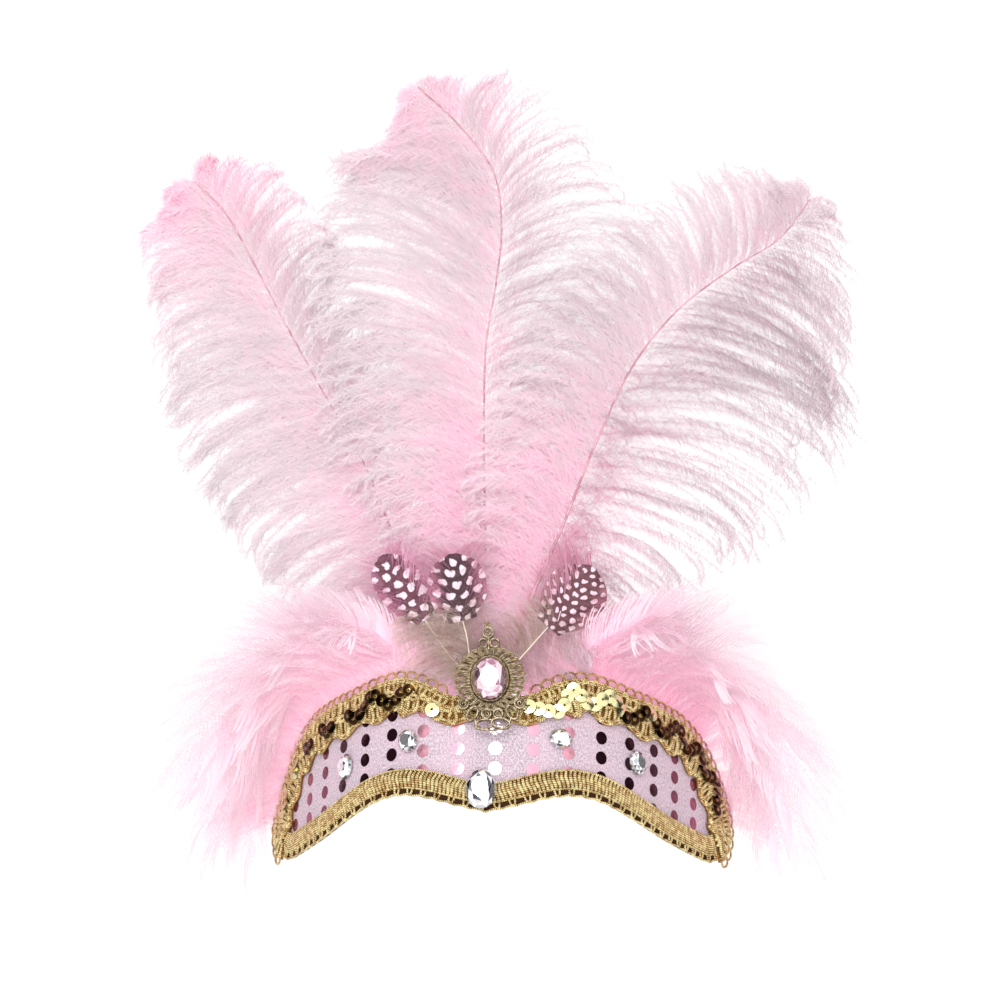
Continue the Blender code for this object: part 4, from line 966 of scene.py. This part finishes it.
class EdgeLine:
    """A line along the band's face, followed by length, with a sideways direction inwards."""

    def __init__(self, edge, half_length, past=()):
        along = np.linspace(-half_length, half_length, 1201)
        self.points = np.column_stack([along, band_edge(along, edge)])
        if past:
            past = np.array(past) * MM
            self.points = np.vstack([past[::-1] * (-1, 1), self.points, past])
        self.run = lengths(self.points)
        self.length = self.run[-1]
        self.side = -1 if edge == "top" else 1

    def spot(self, length):
        """Place along the band and height at a length on the line."""
        return read(self.points, self.run, length)

    def place(self, length, inset, off):
        """Place at a length on the line, a distance in from it and off the fabric."""
        length, inset = np.broadcast_arrays(length, inset)
        way = unit(self.spot(length + 2 * MM) - self.spot(length - 2 * MM))
        across = together(-way[..., 1], way[..., 0])
        here = self.spot(length) + (inset * self.side)[..., None] * across
        return on_band(here[..., 0], here[..., 1], off)

    def strip(self, name, steps, near, far, high, finish):
        """A flat strip of yarn ground between two insets, up to a height off the fabric."""
        length = np.linspace(0, self.length, steps)
        corners = ((near, GAP), (far, GAP), (far, high - 0.3 * MM), (far - 0.4 * MM, high),
                   (near + 0.4 * MM, high), (near, high - 0.3 * MM))
        rings = np.stack([self.place(length, inset, off) for inset, off in corners], axis=1)
        marks = np.stack([together(length, inset) for inset, off in corners], axis=1)
        return skin(name, rings, marks, finish)


def upper_braid_width(line, length):
    """Width of the upper braid, scalloped, and a little wider towards the ends."""
    from_middle = length - line.length / 2
    scallop = SCALLOP_DEPTH * np.cos(FULL_TURN * (np.abs(from_middle) - FIRST_SCALLOP) / SCALLOP_LENGTH)
    dip = 4.2 * MM * np.exp(-(from_middle / (24 * MM)) ** 4)
    return UPPER_BRAID_WIDTH + UPPER_BRAID_GROWTH * (2 * from_middle / line.length) ** 2 + scallop - dip


def yarn_finish(name, dark, light, pitch, metallic):
    """Wound metal yarn: its turns show as fine slanting ridges, with painted shade in the grooves."""
    made = Finish(name, {"Metallic": metallic, "Roughness": 0.3})
    turn = made.attribute("run") * (FULL_TURN / pitch)
    axes = made.start.node("ShaderNodeSeparateXYZ", inputs={0: made.attribute("side").out("Vector")})
    ridge_and_painted_shade = turn.math("SINE") * axes + turn.math("COSINE") * axes.out(1)
    patches = made.place.noise(500, 2).between(0.3, 0.7, -0.5, 0.4)
    # The colour follows the ridges: painted shade in the grooves, painted highlight on the tops.
    made.set({"Base Color": (ridge_and_painted_shade * 0.5 + 0.6 + patches).tint(dark, light),
              "Normal": ridge_and_painted_shade.relief(0.18 * MM)})
    return made


gold_yarn = yarn_finish("gold_yarn", (0.32, 0.13, 0.015), (1.0, 0.86, 0.44), 0.8 * MM, 0.35)
brown_yarn = yarn_finish("bronze_yarn", (0.24, 0.11, 0.03), (0.86, 0.55, 0.22), 0.7 * MM, 0.4)
# Painted shade: the ground's dark gold stands for shade between the cords, darker still in the weave's
# grooves.
gold_ground = Finish("gold_ground", {"Metallic": 0.6, "Roughness": 0.45})
u, v = gold_ground.uv()
weave_and_painted_shade = (u + v * 0.5).ripple(0.9 * MM) * 0.5 + 0.5
shade = weave_and_painted_shade * 0.6 + gold_ground.place.noise(600) * 0.5
gold_ground.set({"Base Color": shade.tint((0.07, 0.025, 0.004), (0.42, 0.20, 0.035)),
                 "Normal": weave_and_painted_shade.relief(0.25 * MM)})
upper = EdgeLine("top", HALF_BAND - 1.5 * MM, BRAID_END)
length = np.linspace(0, upper.length, 500)
belongs(upper.strip("upper_braid_ground", 500, 0.3 * MM, upper_braid_width(upper, length) - 0.4 * MM,
                    BRAID_GROUND, gold_ground), "gold_braid", "upper_braid")

scrolls = []
turns = round(upper.length / SCROLL_PITCH)
way = np.linspace(0, 1, turns * 18)
wound, middle = FULL_TURN * turns * way, upper.length * way
wide = upper_braid_width(upper, middle)
for share, hand in SCROLL_ROWS:
    inset = wide * share + hand * (wide * 0.27) * np.cos(wound)
    off = GAP + 1.8 * MM + SCROLL_RISE * np.sin(wound + 0.8)
    scrolls.append(upper.place(np.clip(middle + SCROLL_SWAY * np.sin(wound), 0, upper.length), inset, off))
lay_cords("upper_braid_scrolls", scrolls, SCROLL_CORD, gold_yarn, "gold_braid")

length = np.linspace(0, upper.length, 900)
wide = upper_braid_width(upper, length)
edges = [upper.place(length, inset, off) for inset, off in
         ((0.5 * MM, BRAID_GROUND), (1.7 * MM, GAP + 1.5 * MM), (wide - 1.5 * MM, GAP + 1.5 * MM))]
lay_cords("upper_braid_edges", edges, EDGE_CORD, gold_yarn, "gold_braid")
hem = upper.place(length, wide - 0.4 * MM, GAP + 0.9 * MM)
lay_cords("upper_braid_hem", hem[None], EDGE_CORD, brown_yarn, "gold_braid")

loops = round(upper.length / LOOP_PITCH)
middles = (np.arange(loops) + 0.5) * upper.length / loops
middles = middles[np.abs(middles - upper.length / 2) > LOOP_FREE_HALF]
bend = np.linspace(-0.15, math.pi + 0.15, 15)
arches = upper.place(middles[:, None] - LOOP_HALF_WIDTH * np.cos(bend),
                     0.4 * MM - LOOP_HEIGHT * np.sin(bend), BRAID_GROUND)
lay_cords("upper_braid_loops", arches, LOOP_CORD, brown_yarn, "gold_braid")

# Lower braid: a narrower gold braid of close upright ribs on a near-black ground of painted shade. Below
# them runs a row of openings between U-shaped ties, dark with that painted shade, with a thin edge cord
# under it, and it hangs a little below the band.

LOWER_BRAID_WIDTH, LOWER_BRAID_HALF, LOWER_BRAID_HANG = 8.2 * MM, 116 * MM, 1.2 * MM
RIB_PITCH, RIB_FROM, RIB_TO, RIB_RISE, RIB_POINTS = 1.55 * MM, 0.9 * MM, 7.4 * MM, 0.45 * MM, 7
TIE_PITCH, TIE_HALF, TIE_TOP, TIE_DROP, TIE_CORD = 5.7 * MM, 1.0 * MM, 1.4 * MM, 2.9 * MM, 0.42 * MM
HEM_ROWS = [(-1.6, 0.2), (1.0, 0.0), (7.9, 0.0)]

# Painted shade: a near-black ground behind the ribs and ties, darker still in the weave's grooves.
painted_shade_ground = Finish("painted_shade_ground", {"Roughness": 0.9, "Specular IOR Level": 0.1})
u, v = painted_shade_ground.uv()
weave_and_painted_shade = u.ripple(0.5 * MM) * 0.5 + 0.5
painted_shade_ground.set({"Base Color": weave_and_painted_shade.tint((0.018, 0.006, 0.003), (0.07, 0.03, 0.012)),
                  "Normal": weave_and_painted_shade.relief(0.1 * MM)})
lower = EdgeLine("low", LOWER_BRAID_HALF)
belongs(lower.strip("lower_braid_ground", 400, -LOWER_BRAID_HANG - 0.2 * MM, LOWER_BRAID_WIDTH - 0.3 * MM,
                    GAP + 1.2 * MM, painted_shade_ground), "gold_braid", "lower_braid")

ribs = np.arange(0.8 * MM, lower.length, RIB_PITCH)
insets = np.linspace(RIB_FROM, RIB_TO, RIB_POINTS)
swell = np.sin(np.linspace(0, math.pi, RIB_POINTS))
rib_lines = lower.place(ribs[:, None] + 0.35 * MM * np.sin(insets * 900), insets[None],
                        GAP + 1.2 * MM + RIB_RISE * swell)
lay_cords("lower_braid_ribs", rib_lines, (0.55 + 0.22 * swell) * MM, gold_yarn, "gold_braid", sides=8)

ties = np.arange(TIE_PITCH / 2, lower.length, TIE_PITCH)
bend = np.linspace(0, math.pi, 11)
tie_lines = lower.place(ties[:, None] - TIE_HALF * np.cos(bend),
                        TIE_TOP - TIE_DROP * np.sin(bend) ** 0.6, GAP + 1.5 * MM)
lay_cords("lower_braid_ties", tie_lines, TIE_CORD, gold_yarn, "gold_braid")
length = np.linspace(0, lower.length, 800)
hem = [lower.place(length, inset * MM + ripple * MM * np.sin(FULL_TURN * length / TIE_PITCH), GAP + 1.2 * MM)
       for inset, ripple in HEM_ROWS]
lay_cords("lower_braid_hem", hem, TIE_CORD, gold_yarn, "gold_braid")

# Sequin string: cupped sequins on one thread, sewn in waves on the upper braid so that each overlaps the
# next. They are dark bronze with a painted glint round the hole and along the rim, and pale yellow beside
# the brooch and at the left end. The braid's scrolls cover some on the left half, and a single one shows
# between them and the brooch.

SEQUIN, SEQUIN_CUP, SEQUIN_HOLE, SEQUIN_SPACING = 5.4 * MM, 0.45 * MM, 0.5 * MM, 3.8 * MM
SEQUIN_INSET, SEQUIN_WAVE = 7.4 * MM, 2.9 * MM
PALE_FROM, PALE_TO, PALE_LEFT_END = -20 * MM, 56 * MM, -100 * MM
COVERED_LEFT_OF, BARE_FROM, BARE_TO = -58 * MM, -27 * MM, 12 * MM
SINGLE_AT, SINGLE_HALF = -17 * MM, 1.9 * MM
THREAD_POINTS = 3000
ON_BRAID = GAP + BRAID_THICK + GAP

string = EdgeLine("top", HALF_BAND - 4 * MM)
length = np.linspace(0, string.length, THREAD_POINTS)
phase = FULL_TURN * (np.abs(length - string.length / 2) - FIRST_SCALLOP) / SCALLOP_LENGTH
thread = string.place(length, SEQUIN_INSET - SEQUIN_WAVE * np.cos(phase), ON_BRAID + 0.35 * MM)
run = lengths(thread)
picks = np.interp(np.arange(1 * MM, run[-1], SEQUIN_SPACING), run, np.arange(THREAD_POINTS))
along = string.spot(np.interp(picks, np.arange(THREAD_POINTS), length))[:, 0]
covered = (along < COVERED_LEFT_OF) & (np.cos(np.interp(picks, np.arange(THREAD_POINTS), phase)) > -0.1)
bare = (along > BARE_FROM) & (along < BARE_TO) & (np.abs(along - SINGLE_AT) > SINGLE_HALF)
picks, along = picks[~bare & ~covered], along[~bare & ~covered]
rng = np.random.default_rng(5)
sewn = at(thread, picks)
onward = unit(at(np.gradient(thread, axis=0), picks))
leaning = unit(facing(along) - 0.25 * np.sign(along)[:, None] * onward + rng.normal(0, 0.13, sewn.shape))
pale = ((along > PALE_FROM) & (along < PALE_TO + rng.normal(0, 5 * MM, len(along)))).astype(float)
pale[along < PALE_LEFT_END] = 0.8
sequin_finish = Finish("sequins", {"Metallic": 1.0, "Roughness": 0.17})
ring = sequin_finish.attribute("ring")
# Painted glint on the bronze sequins: a bright gold ring round the hole and a lighter rim.
painted_glint = ring.between(0.22, 0.36, 0, 1) - ring.between(0.86, 0.97, 0, 0.35)
bronze_with_painted_glint = painted_glint.tint((0.80, 0.52, 0.17), (0.035, 0.016, 0.006))
yellow = ring.between(0.2, 1.0).tint((0.93, 0.84, 0.45), (0.88, 0.86, 0.48))
sequin_finish.set({"Base Color": sequin_finish.attribute("pale").tint(bronze_with_painted_glint, yellow),
                   "Normal": sequin_finish.place.noise(900).relief(0.1 * MM, 0.6)})
source = lines_mesh("sequins", sewn[:, None], facing=leaning[:, None], pale=pale[:, None])
sequins = grow("sequins", source, spangles,
               {"Radius": SEQUIN / 2, "Cup": SEQUIN_CUP, "Hole": SEQUIN_HOLE,
                "Material": sequin_finish.material})
belongs(sequins, "dark_gold_sequins", "sequin_string")

# Stones: flat-backed oval glass stones with cut facets and a mirror back, glued to the fabric, and a
# larger one over the point of the band.

CUT_ROWS = [(16, 0, 0.93, 0), (16, 0, 1.0, 0.22), (16, 0.5, 0.88, 0.60), (8, 0.25, 0.72, 0.86),
            (8, 0.75, 0.52, 1.0)]
LOW_SHARE, LOW_SHADE = 0.42, 0.64
STONES = {
    "stone_left_outer": (-63.9, -0.9, 4.0, 5.0, 3.2, 0, GAP),
    "stone_left_inner": (-31.1, 4.3, 4.0, 4.6, 3.2, 20, GAP),
    "stone_right_inner": (27.2, 4.9, 4.7, 3.9, 3.2, 0, GAP),
    "stone_right_outer": (62.0, 0.8, 4.0, 5.0, 3.2, 15, GAP),
    "front_stone": (-1.8, -16.1, 6.0, 7.6, 4.6, 0, ON_BRAID),
}


def against_band(points, along, height, off, turn):
    """Places points of a flat thing's own plane against the band: x right, y up, z out."""
    turn = math.radians(turn)
    out = facing(along)
    right = unit(np.cross(out, tilted(0.0, 0.0, 1.0))) * -1
    up = np.cross(out, right)
    points = np.asarray(points, float)
    x, y, z = np.moveaxis(points, -1, 0)[..., None]
    across = x * math.cos(turn) - y * math.sin(turn)
    upward = x * math.sin(turn) + y * math.cos(turn)
    return on_band(along, height, off) + across * right + upward * up + z * out


def cut_stone(name, size, spot, finish):
    """An oval brilliant with a flat back, as the hull of its corners, and a painted shade for each facet."""
    half_width, half_height, thick = np.array(size) * MM
    corners = []
    for sides, shift, wide, rise in CUT_ROWS:
        angle = FULL_TURN * (np.arange(sides) + shift) / sides
        corners.append(together(wide * half_width * np.cos(angle), wide * half_height * np.sin(angle),
                                rise * thick))
    bm = bmesh.new()
    for corner in against_band(np.concatenate(corners), *spot):
        bm.verts.new(corner)
    bmesh.ops.convex_hull(bm, input=bm.verts)
    bmesh.ops.dissolve_limit(bm, angle_limit=math.radians(1), verts=bm.verts, edges=bm.edges)
    bmesh.ops.recalc_face_normals(bm, faces=bm.faces)
    mesh = bpy.data.meshes.new(name)
    bm.to_mesh(mesh)
    bm.free()
    # Painted reflections: grey on the low rim facets, light on the two largest, light or dark at random
    # elsewhere.
    shades = np.random.default_rng(len(name)).uniform(0, 1, len(mesh.polygons))
    areas = np.array([face.area for face in mesh.polygons])
    low = np.array([face.center.dot(Vector(facing(spot[0]))) for face in mesh.polygons])
    shades = np.where(low < np.quantile(low, LOW_SHARE), LOW_SHADE, shades)
    shades[np.argsort(areas)[-2:]] = 0
    mesh.attributes.new("facet", "FLOAT", "FACE").data.foreach_set("value", shades.astype(np.float32))
    mesh.materials.append(finish.material)
    return add_object(name, mesh)


def glass(name, light, dark):
    """Mirror-backed glass, with painted reflections: some facets light, others grey or near-black."""
    made = Finish(name, {"Metallic": 0.85, "Roughness": 0.06, "Coat Weight": 1.0})
    facet = made.attribute("facet")
    made.set({"Base Color": facet.between(0.5, 0.8).tint(light, dark)})
    return made


clear_glass = glass("clear_glass", (0.93, 0.93, 0.95), (0.06, 0.06, 0.08))
for name, (along, height, *size, turn, off) in STONES.items():
    spot = along * MM, height * MM, off, turn
    belongs(cut_stone(name + "_cut", size, spot, clear_glass), "clear_stone", name)

# Brooch: an antique-brass stamping with a pink stone. Pairs of thin wires radiate round the stone, with
# rings and curls above and below them, all on one pierced plate.

BROOCH_SPOT = (0.6 * MM, 25.2 * MM, ON_BRAID + 0.8 * MM + GAP, 2.3)
PLATE, RAISED, BEZEL_RAISED = 1.0, 1.4, 1.45
PETALS, PETAL_REACH = 26, (13.1, 12.4)
PETAL_SWEEP = [-0.20, -0.34, -0.42, -0.42, -0.30, 0.0, 0.30, 0.42, 0.42, 0.34, 0.20]
PETAL_SHARE = [0.0, 0.30, 0.6, 0.85, 0.97, 1.02, 0.97, 0.85, 0.6, 0.30, 0.0]
BROOCH_STONE = (6.4, 8.2, 3.6)
BROOCH_CURLS = [(-1.6, -13.3, 1), (2.8, -13.4, -1), (-10.0, -9.3, 1), (10.9, -9.7, -1), (-0.3, 17.7, 1)]
BROOCH_ARCH = [(-5.9, -15.3), (-5.3, -17.8), (-3.2, -19.3), (0.6, -19.8), (4.4, -19.3), (6.8, -17.5),
               (7.6, -15.1)]
BROOCH_EYES = [
    (-0.3, 17.7, 2.4, 2.4, 0.9, 5), (-2.2, 13.7, 2.1, 2.1, 0.9, 8), (2.0, 13.6, 2.1, 2.1, 0.9, 13),
    (-10.0, -9.3, 2.4, 2.4, 1.0, 7), (10.9, -9.7, 2.5, 2.5, 1.0, 4), (-6.7, -13.1, 2.3, 3.4, 1.1, -32),
    (7.9, -13.2, 2.3, 3.4, 1.1, 34), (-1.6, -13.3, 2.2, 2.2, 0.9, 9), (2.8, -13.4, 2.2, 2.2, 0.9, 2),
    (-2.3, -17.3, 3.9, 2.3, 0.9, 7), (3.7, -17.2, 3.9, 2.4, 0.9, -11),
]

brass = mottled("antique_brass_plate", {"Metallic": 0.95, "Roughness": 0.42}, (700, 3, 0.35, 0.7),
                (0.075, 0.052, 0.028), (0.22, 0.16, 0.09), (2200, 0.08))
brass_wire = mottled("antique_brass_wire", {"Metallic": 0.9, "Roughness": 0.33}, (900, 3, 0.35, 0.65),
                     (0.15, 0.11, 0.06), (0.48, 0.40, 0.28), (2600, 0.06))
for slot in bpy.data.objects["brooch"].material_slots:
    slot.material = brass.material

angles = FULL_TURN * (np.arange(PETALS) + 0.5) / PETALS
turned = angles[:, None] + np.array(PETAL_SWEEP) * FULL_TURN / PETALS
share = np.array(PETAL_SHARE)
start = [(BROOCH_STONE[k] + 1.0) / PETAL_REACH[k] for k in (0, 1)]
petals = together(PETAL_REACH[0] * (start[0] + (1 - start[0]) * share) * np.cos(turned),
                  PETAL_REACH[1] * (start[1] + (1 - start[1]) * share) * np.sin(turned),
                  PLATE + 0.12 + 0.25 * np.sin(np.pi * share))
circle = np.linspace(0, FULL_TURN, 24, endpoint=False)
cos, sin = np.cos(circle), np.sin(circle)
rings = []
for x, y, wide, high, rim, turn in BROOCH_EYES:
    a, b, t = wide - rim / 2, high - rim / 2, math.radians(turn)
    rings.append(together(x + a * cos * math.cos(t) - b * sin * math.sin(t),
                          y + a * cos * math.sin(t) + b * sin * math.cos(t), RAISED + 0.05))
wound, radius = np.linspace(0, 3.2 * math.pi, 22), np.linspace(1.7, 0.3, 22)
curls = [together(x + hand * radius * np.cos(wound), y + radius * np.sin(wound), RAISED - 0.1)
         for x, y, hand in BROOCH_CURLS]
stems = [[(-0.2, y, RAISED + 0.1) for y in np.linspace(11, 16.5, 6)],
         [(-0.5 - 0.05 * k, 19.8 + 0.45 * k, RAISED - 0.1) for k in range(6)]]
bezel = together((BROOCH_STONE[0] + 0.4) * cos, (BROOCH_STONE[1] + 0.4) * sin, BEZEL_RAISED)
arch = [(x, y, RAISED) for x, y in BROOCH_ARCH]
for name, points, radius, closed in (
        ("petals", petals, 0.21, False), ("rings", rings, 0.36, True), ("curls", curls, 0.26, False),
        ("stems", stems, 0.42, False), ("arch", [arch], 0.42, False), ("bezel", [bezel], 0.27, True)):
    wires = against_band(np.asarray(points, float) * MM, *BROOCH_SPOT)
    lay_cords("brooch_" + name, wires, radius * MM, brass_wire, "antique_brass", sides=7, closed=closed)
along, height, off, turn = BROOCH_SPOT
pink_glass = glass("pink_glass", (0.95, 0.72, 0.80), (0.42, 0.18, 0.26))
spot = along, height, off + PLATE * MM + GAP, turn
belongs(cut_stone("brooch_stone_cut", BROOCH_STONE, spot, pink_glass), "pink_stone", "brooch_stone")

# Camera: level with the middle of the plumes, a little to the right of the front.

SCALE_AT_BAND = 0.37 * MM
CAMERA_AWAY = 1.4
CAMERA_TURN = math.radians(4)
FRONT_MIDDLE = Vector(on_band(0.0, 0.0, 0.0))
MIDDLE_RIGHT, MIDDLE_UP = 12.3, 248.2
FRAME, SENSOR = 1000, 36

camera = add_object("camera", bpy.data.cameras.new("camera"))
bpy.context.scene.camera = camera
right = Vector((math.cos(CAMERA_TURN), math.sin(CAMERA_TURN), 0))
back = Vector((math.sin(CAMERA_TURN), -math.cos(CAMERA_TURN), 0))
camera.location = (FRONT_MIDDLE + back * CAMERA_AWAY + right * MIDDLE_RIGHT * SCALE_AT_BAND
                   + Vector((0, 0, MIDDLE_UP * SCALE_AT_BAND)))
camera.rotation_euler = (math.pi / 2, 0, CAMERA_TURN)
camera.data.sensor_width = SENSOR
camera.data.lens = SENSOR * CAMERA_AWAY / (FRAME * SCALE_AT_BAND)
camera.data.clip_end = 60

# Studio: white all round but for a dark gap at each side, which the foil and the sequins mirror,
# a soft lamp over the front and a pale floor far below.

FLOOR_DROP, FLOOR_HALF = 0.28, 25
WHITE_ROOM, DARK_GAP = 1.12, 0.03
FRONT_LIT, BACK_LIT, ABOVE_LIT = (66, 50), (64, 52), (0.45, 0.75)
LAMP_PLACE, LAMP_SIZE, LAMP_POWER, LAMP_AIM = (-0.12, -1.45, 0.7), (0.9, 0.7), 12, (0, 0, 0.12)

world = bpy.data.worlds.new("studio")
bpy.context.scene.world = world
world.use_nodes = True
sky = Wire(world.node_tree)
ways = sky.node("ShaderNodeSeparateXYZ", inputs={0: sky.node("ShaderNodeTexCoord", output="Generated")})
level = (ways * ways + ways.out(1) * ways.out(1)).math("POWER", 0.5) + 0.001
towards = (ways * back.x + ways.out(1) * back.y) / level
lit = towards.between(*np.cos(np.radians(FRONT_LIT)))
lit = lit.math("MAXIMUM", (towards * -1).between(*np.cos(np.radians(BACK_LIT))))
lit = lit.math("MAXIMUM", ways.out(2).between(*ABOVE_LIT))
strength = lit * (WHITE_ROOM - DARK_GAP) + DARK_GAP
backdrop = world.node_tree.nodes["Background"]
backdrop.inputs["Color"].default_value = (1, 1, 1, 1)
world.node_tree.links.new(strength.socket, backdrop.inputs["Strength"])

lamp = add_object("soft_lamp", bpy.data.lights.new("soft_lamp", "AREA"))
lamp.data.shape = "RECTANGLE"
lamp.data.size, lamp.data.size_y = LAMP_SIZE
lamp.data.energy = LAMP_POWER
lamp.location = LAMP_PLACE
lamp.rotation_euler = (Vector(LAMP_AIM) - lamp.location).to_track_quat("-Z", "Y").to_euler()

floor = Finish("pale_floor", {"Base Color": (0.93, 0.93, 0.93, 1), "Roughness": 0.9,
                              "Emission Color": (1, 1, 1, 1), "Emission Strength": 0.12})
floor.material.cycles.emission_sampling = "NONE"
bm = bmesh.new()
bmesh.ops.create_grid(bm, x_segments=1, y_segments=1, size=FLOOR_HALF)
bmesh.ops.translate(bm, verts=bm.verts, vec=(0, 0, -FLOOR_DROP))
floor_mesh = bpy.data.meshes.new("floor")
bm.to_mesh(floor_mesh)
bm.free()
floor_mesh.materials.append(floor.material)
add_object("floor", floor_mesh)

bpy.context.scene.view_settings.view_transform = "Standard"
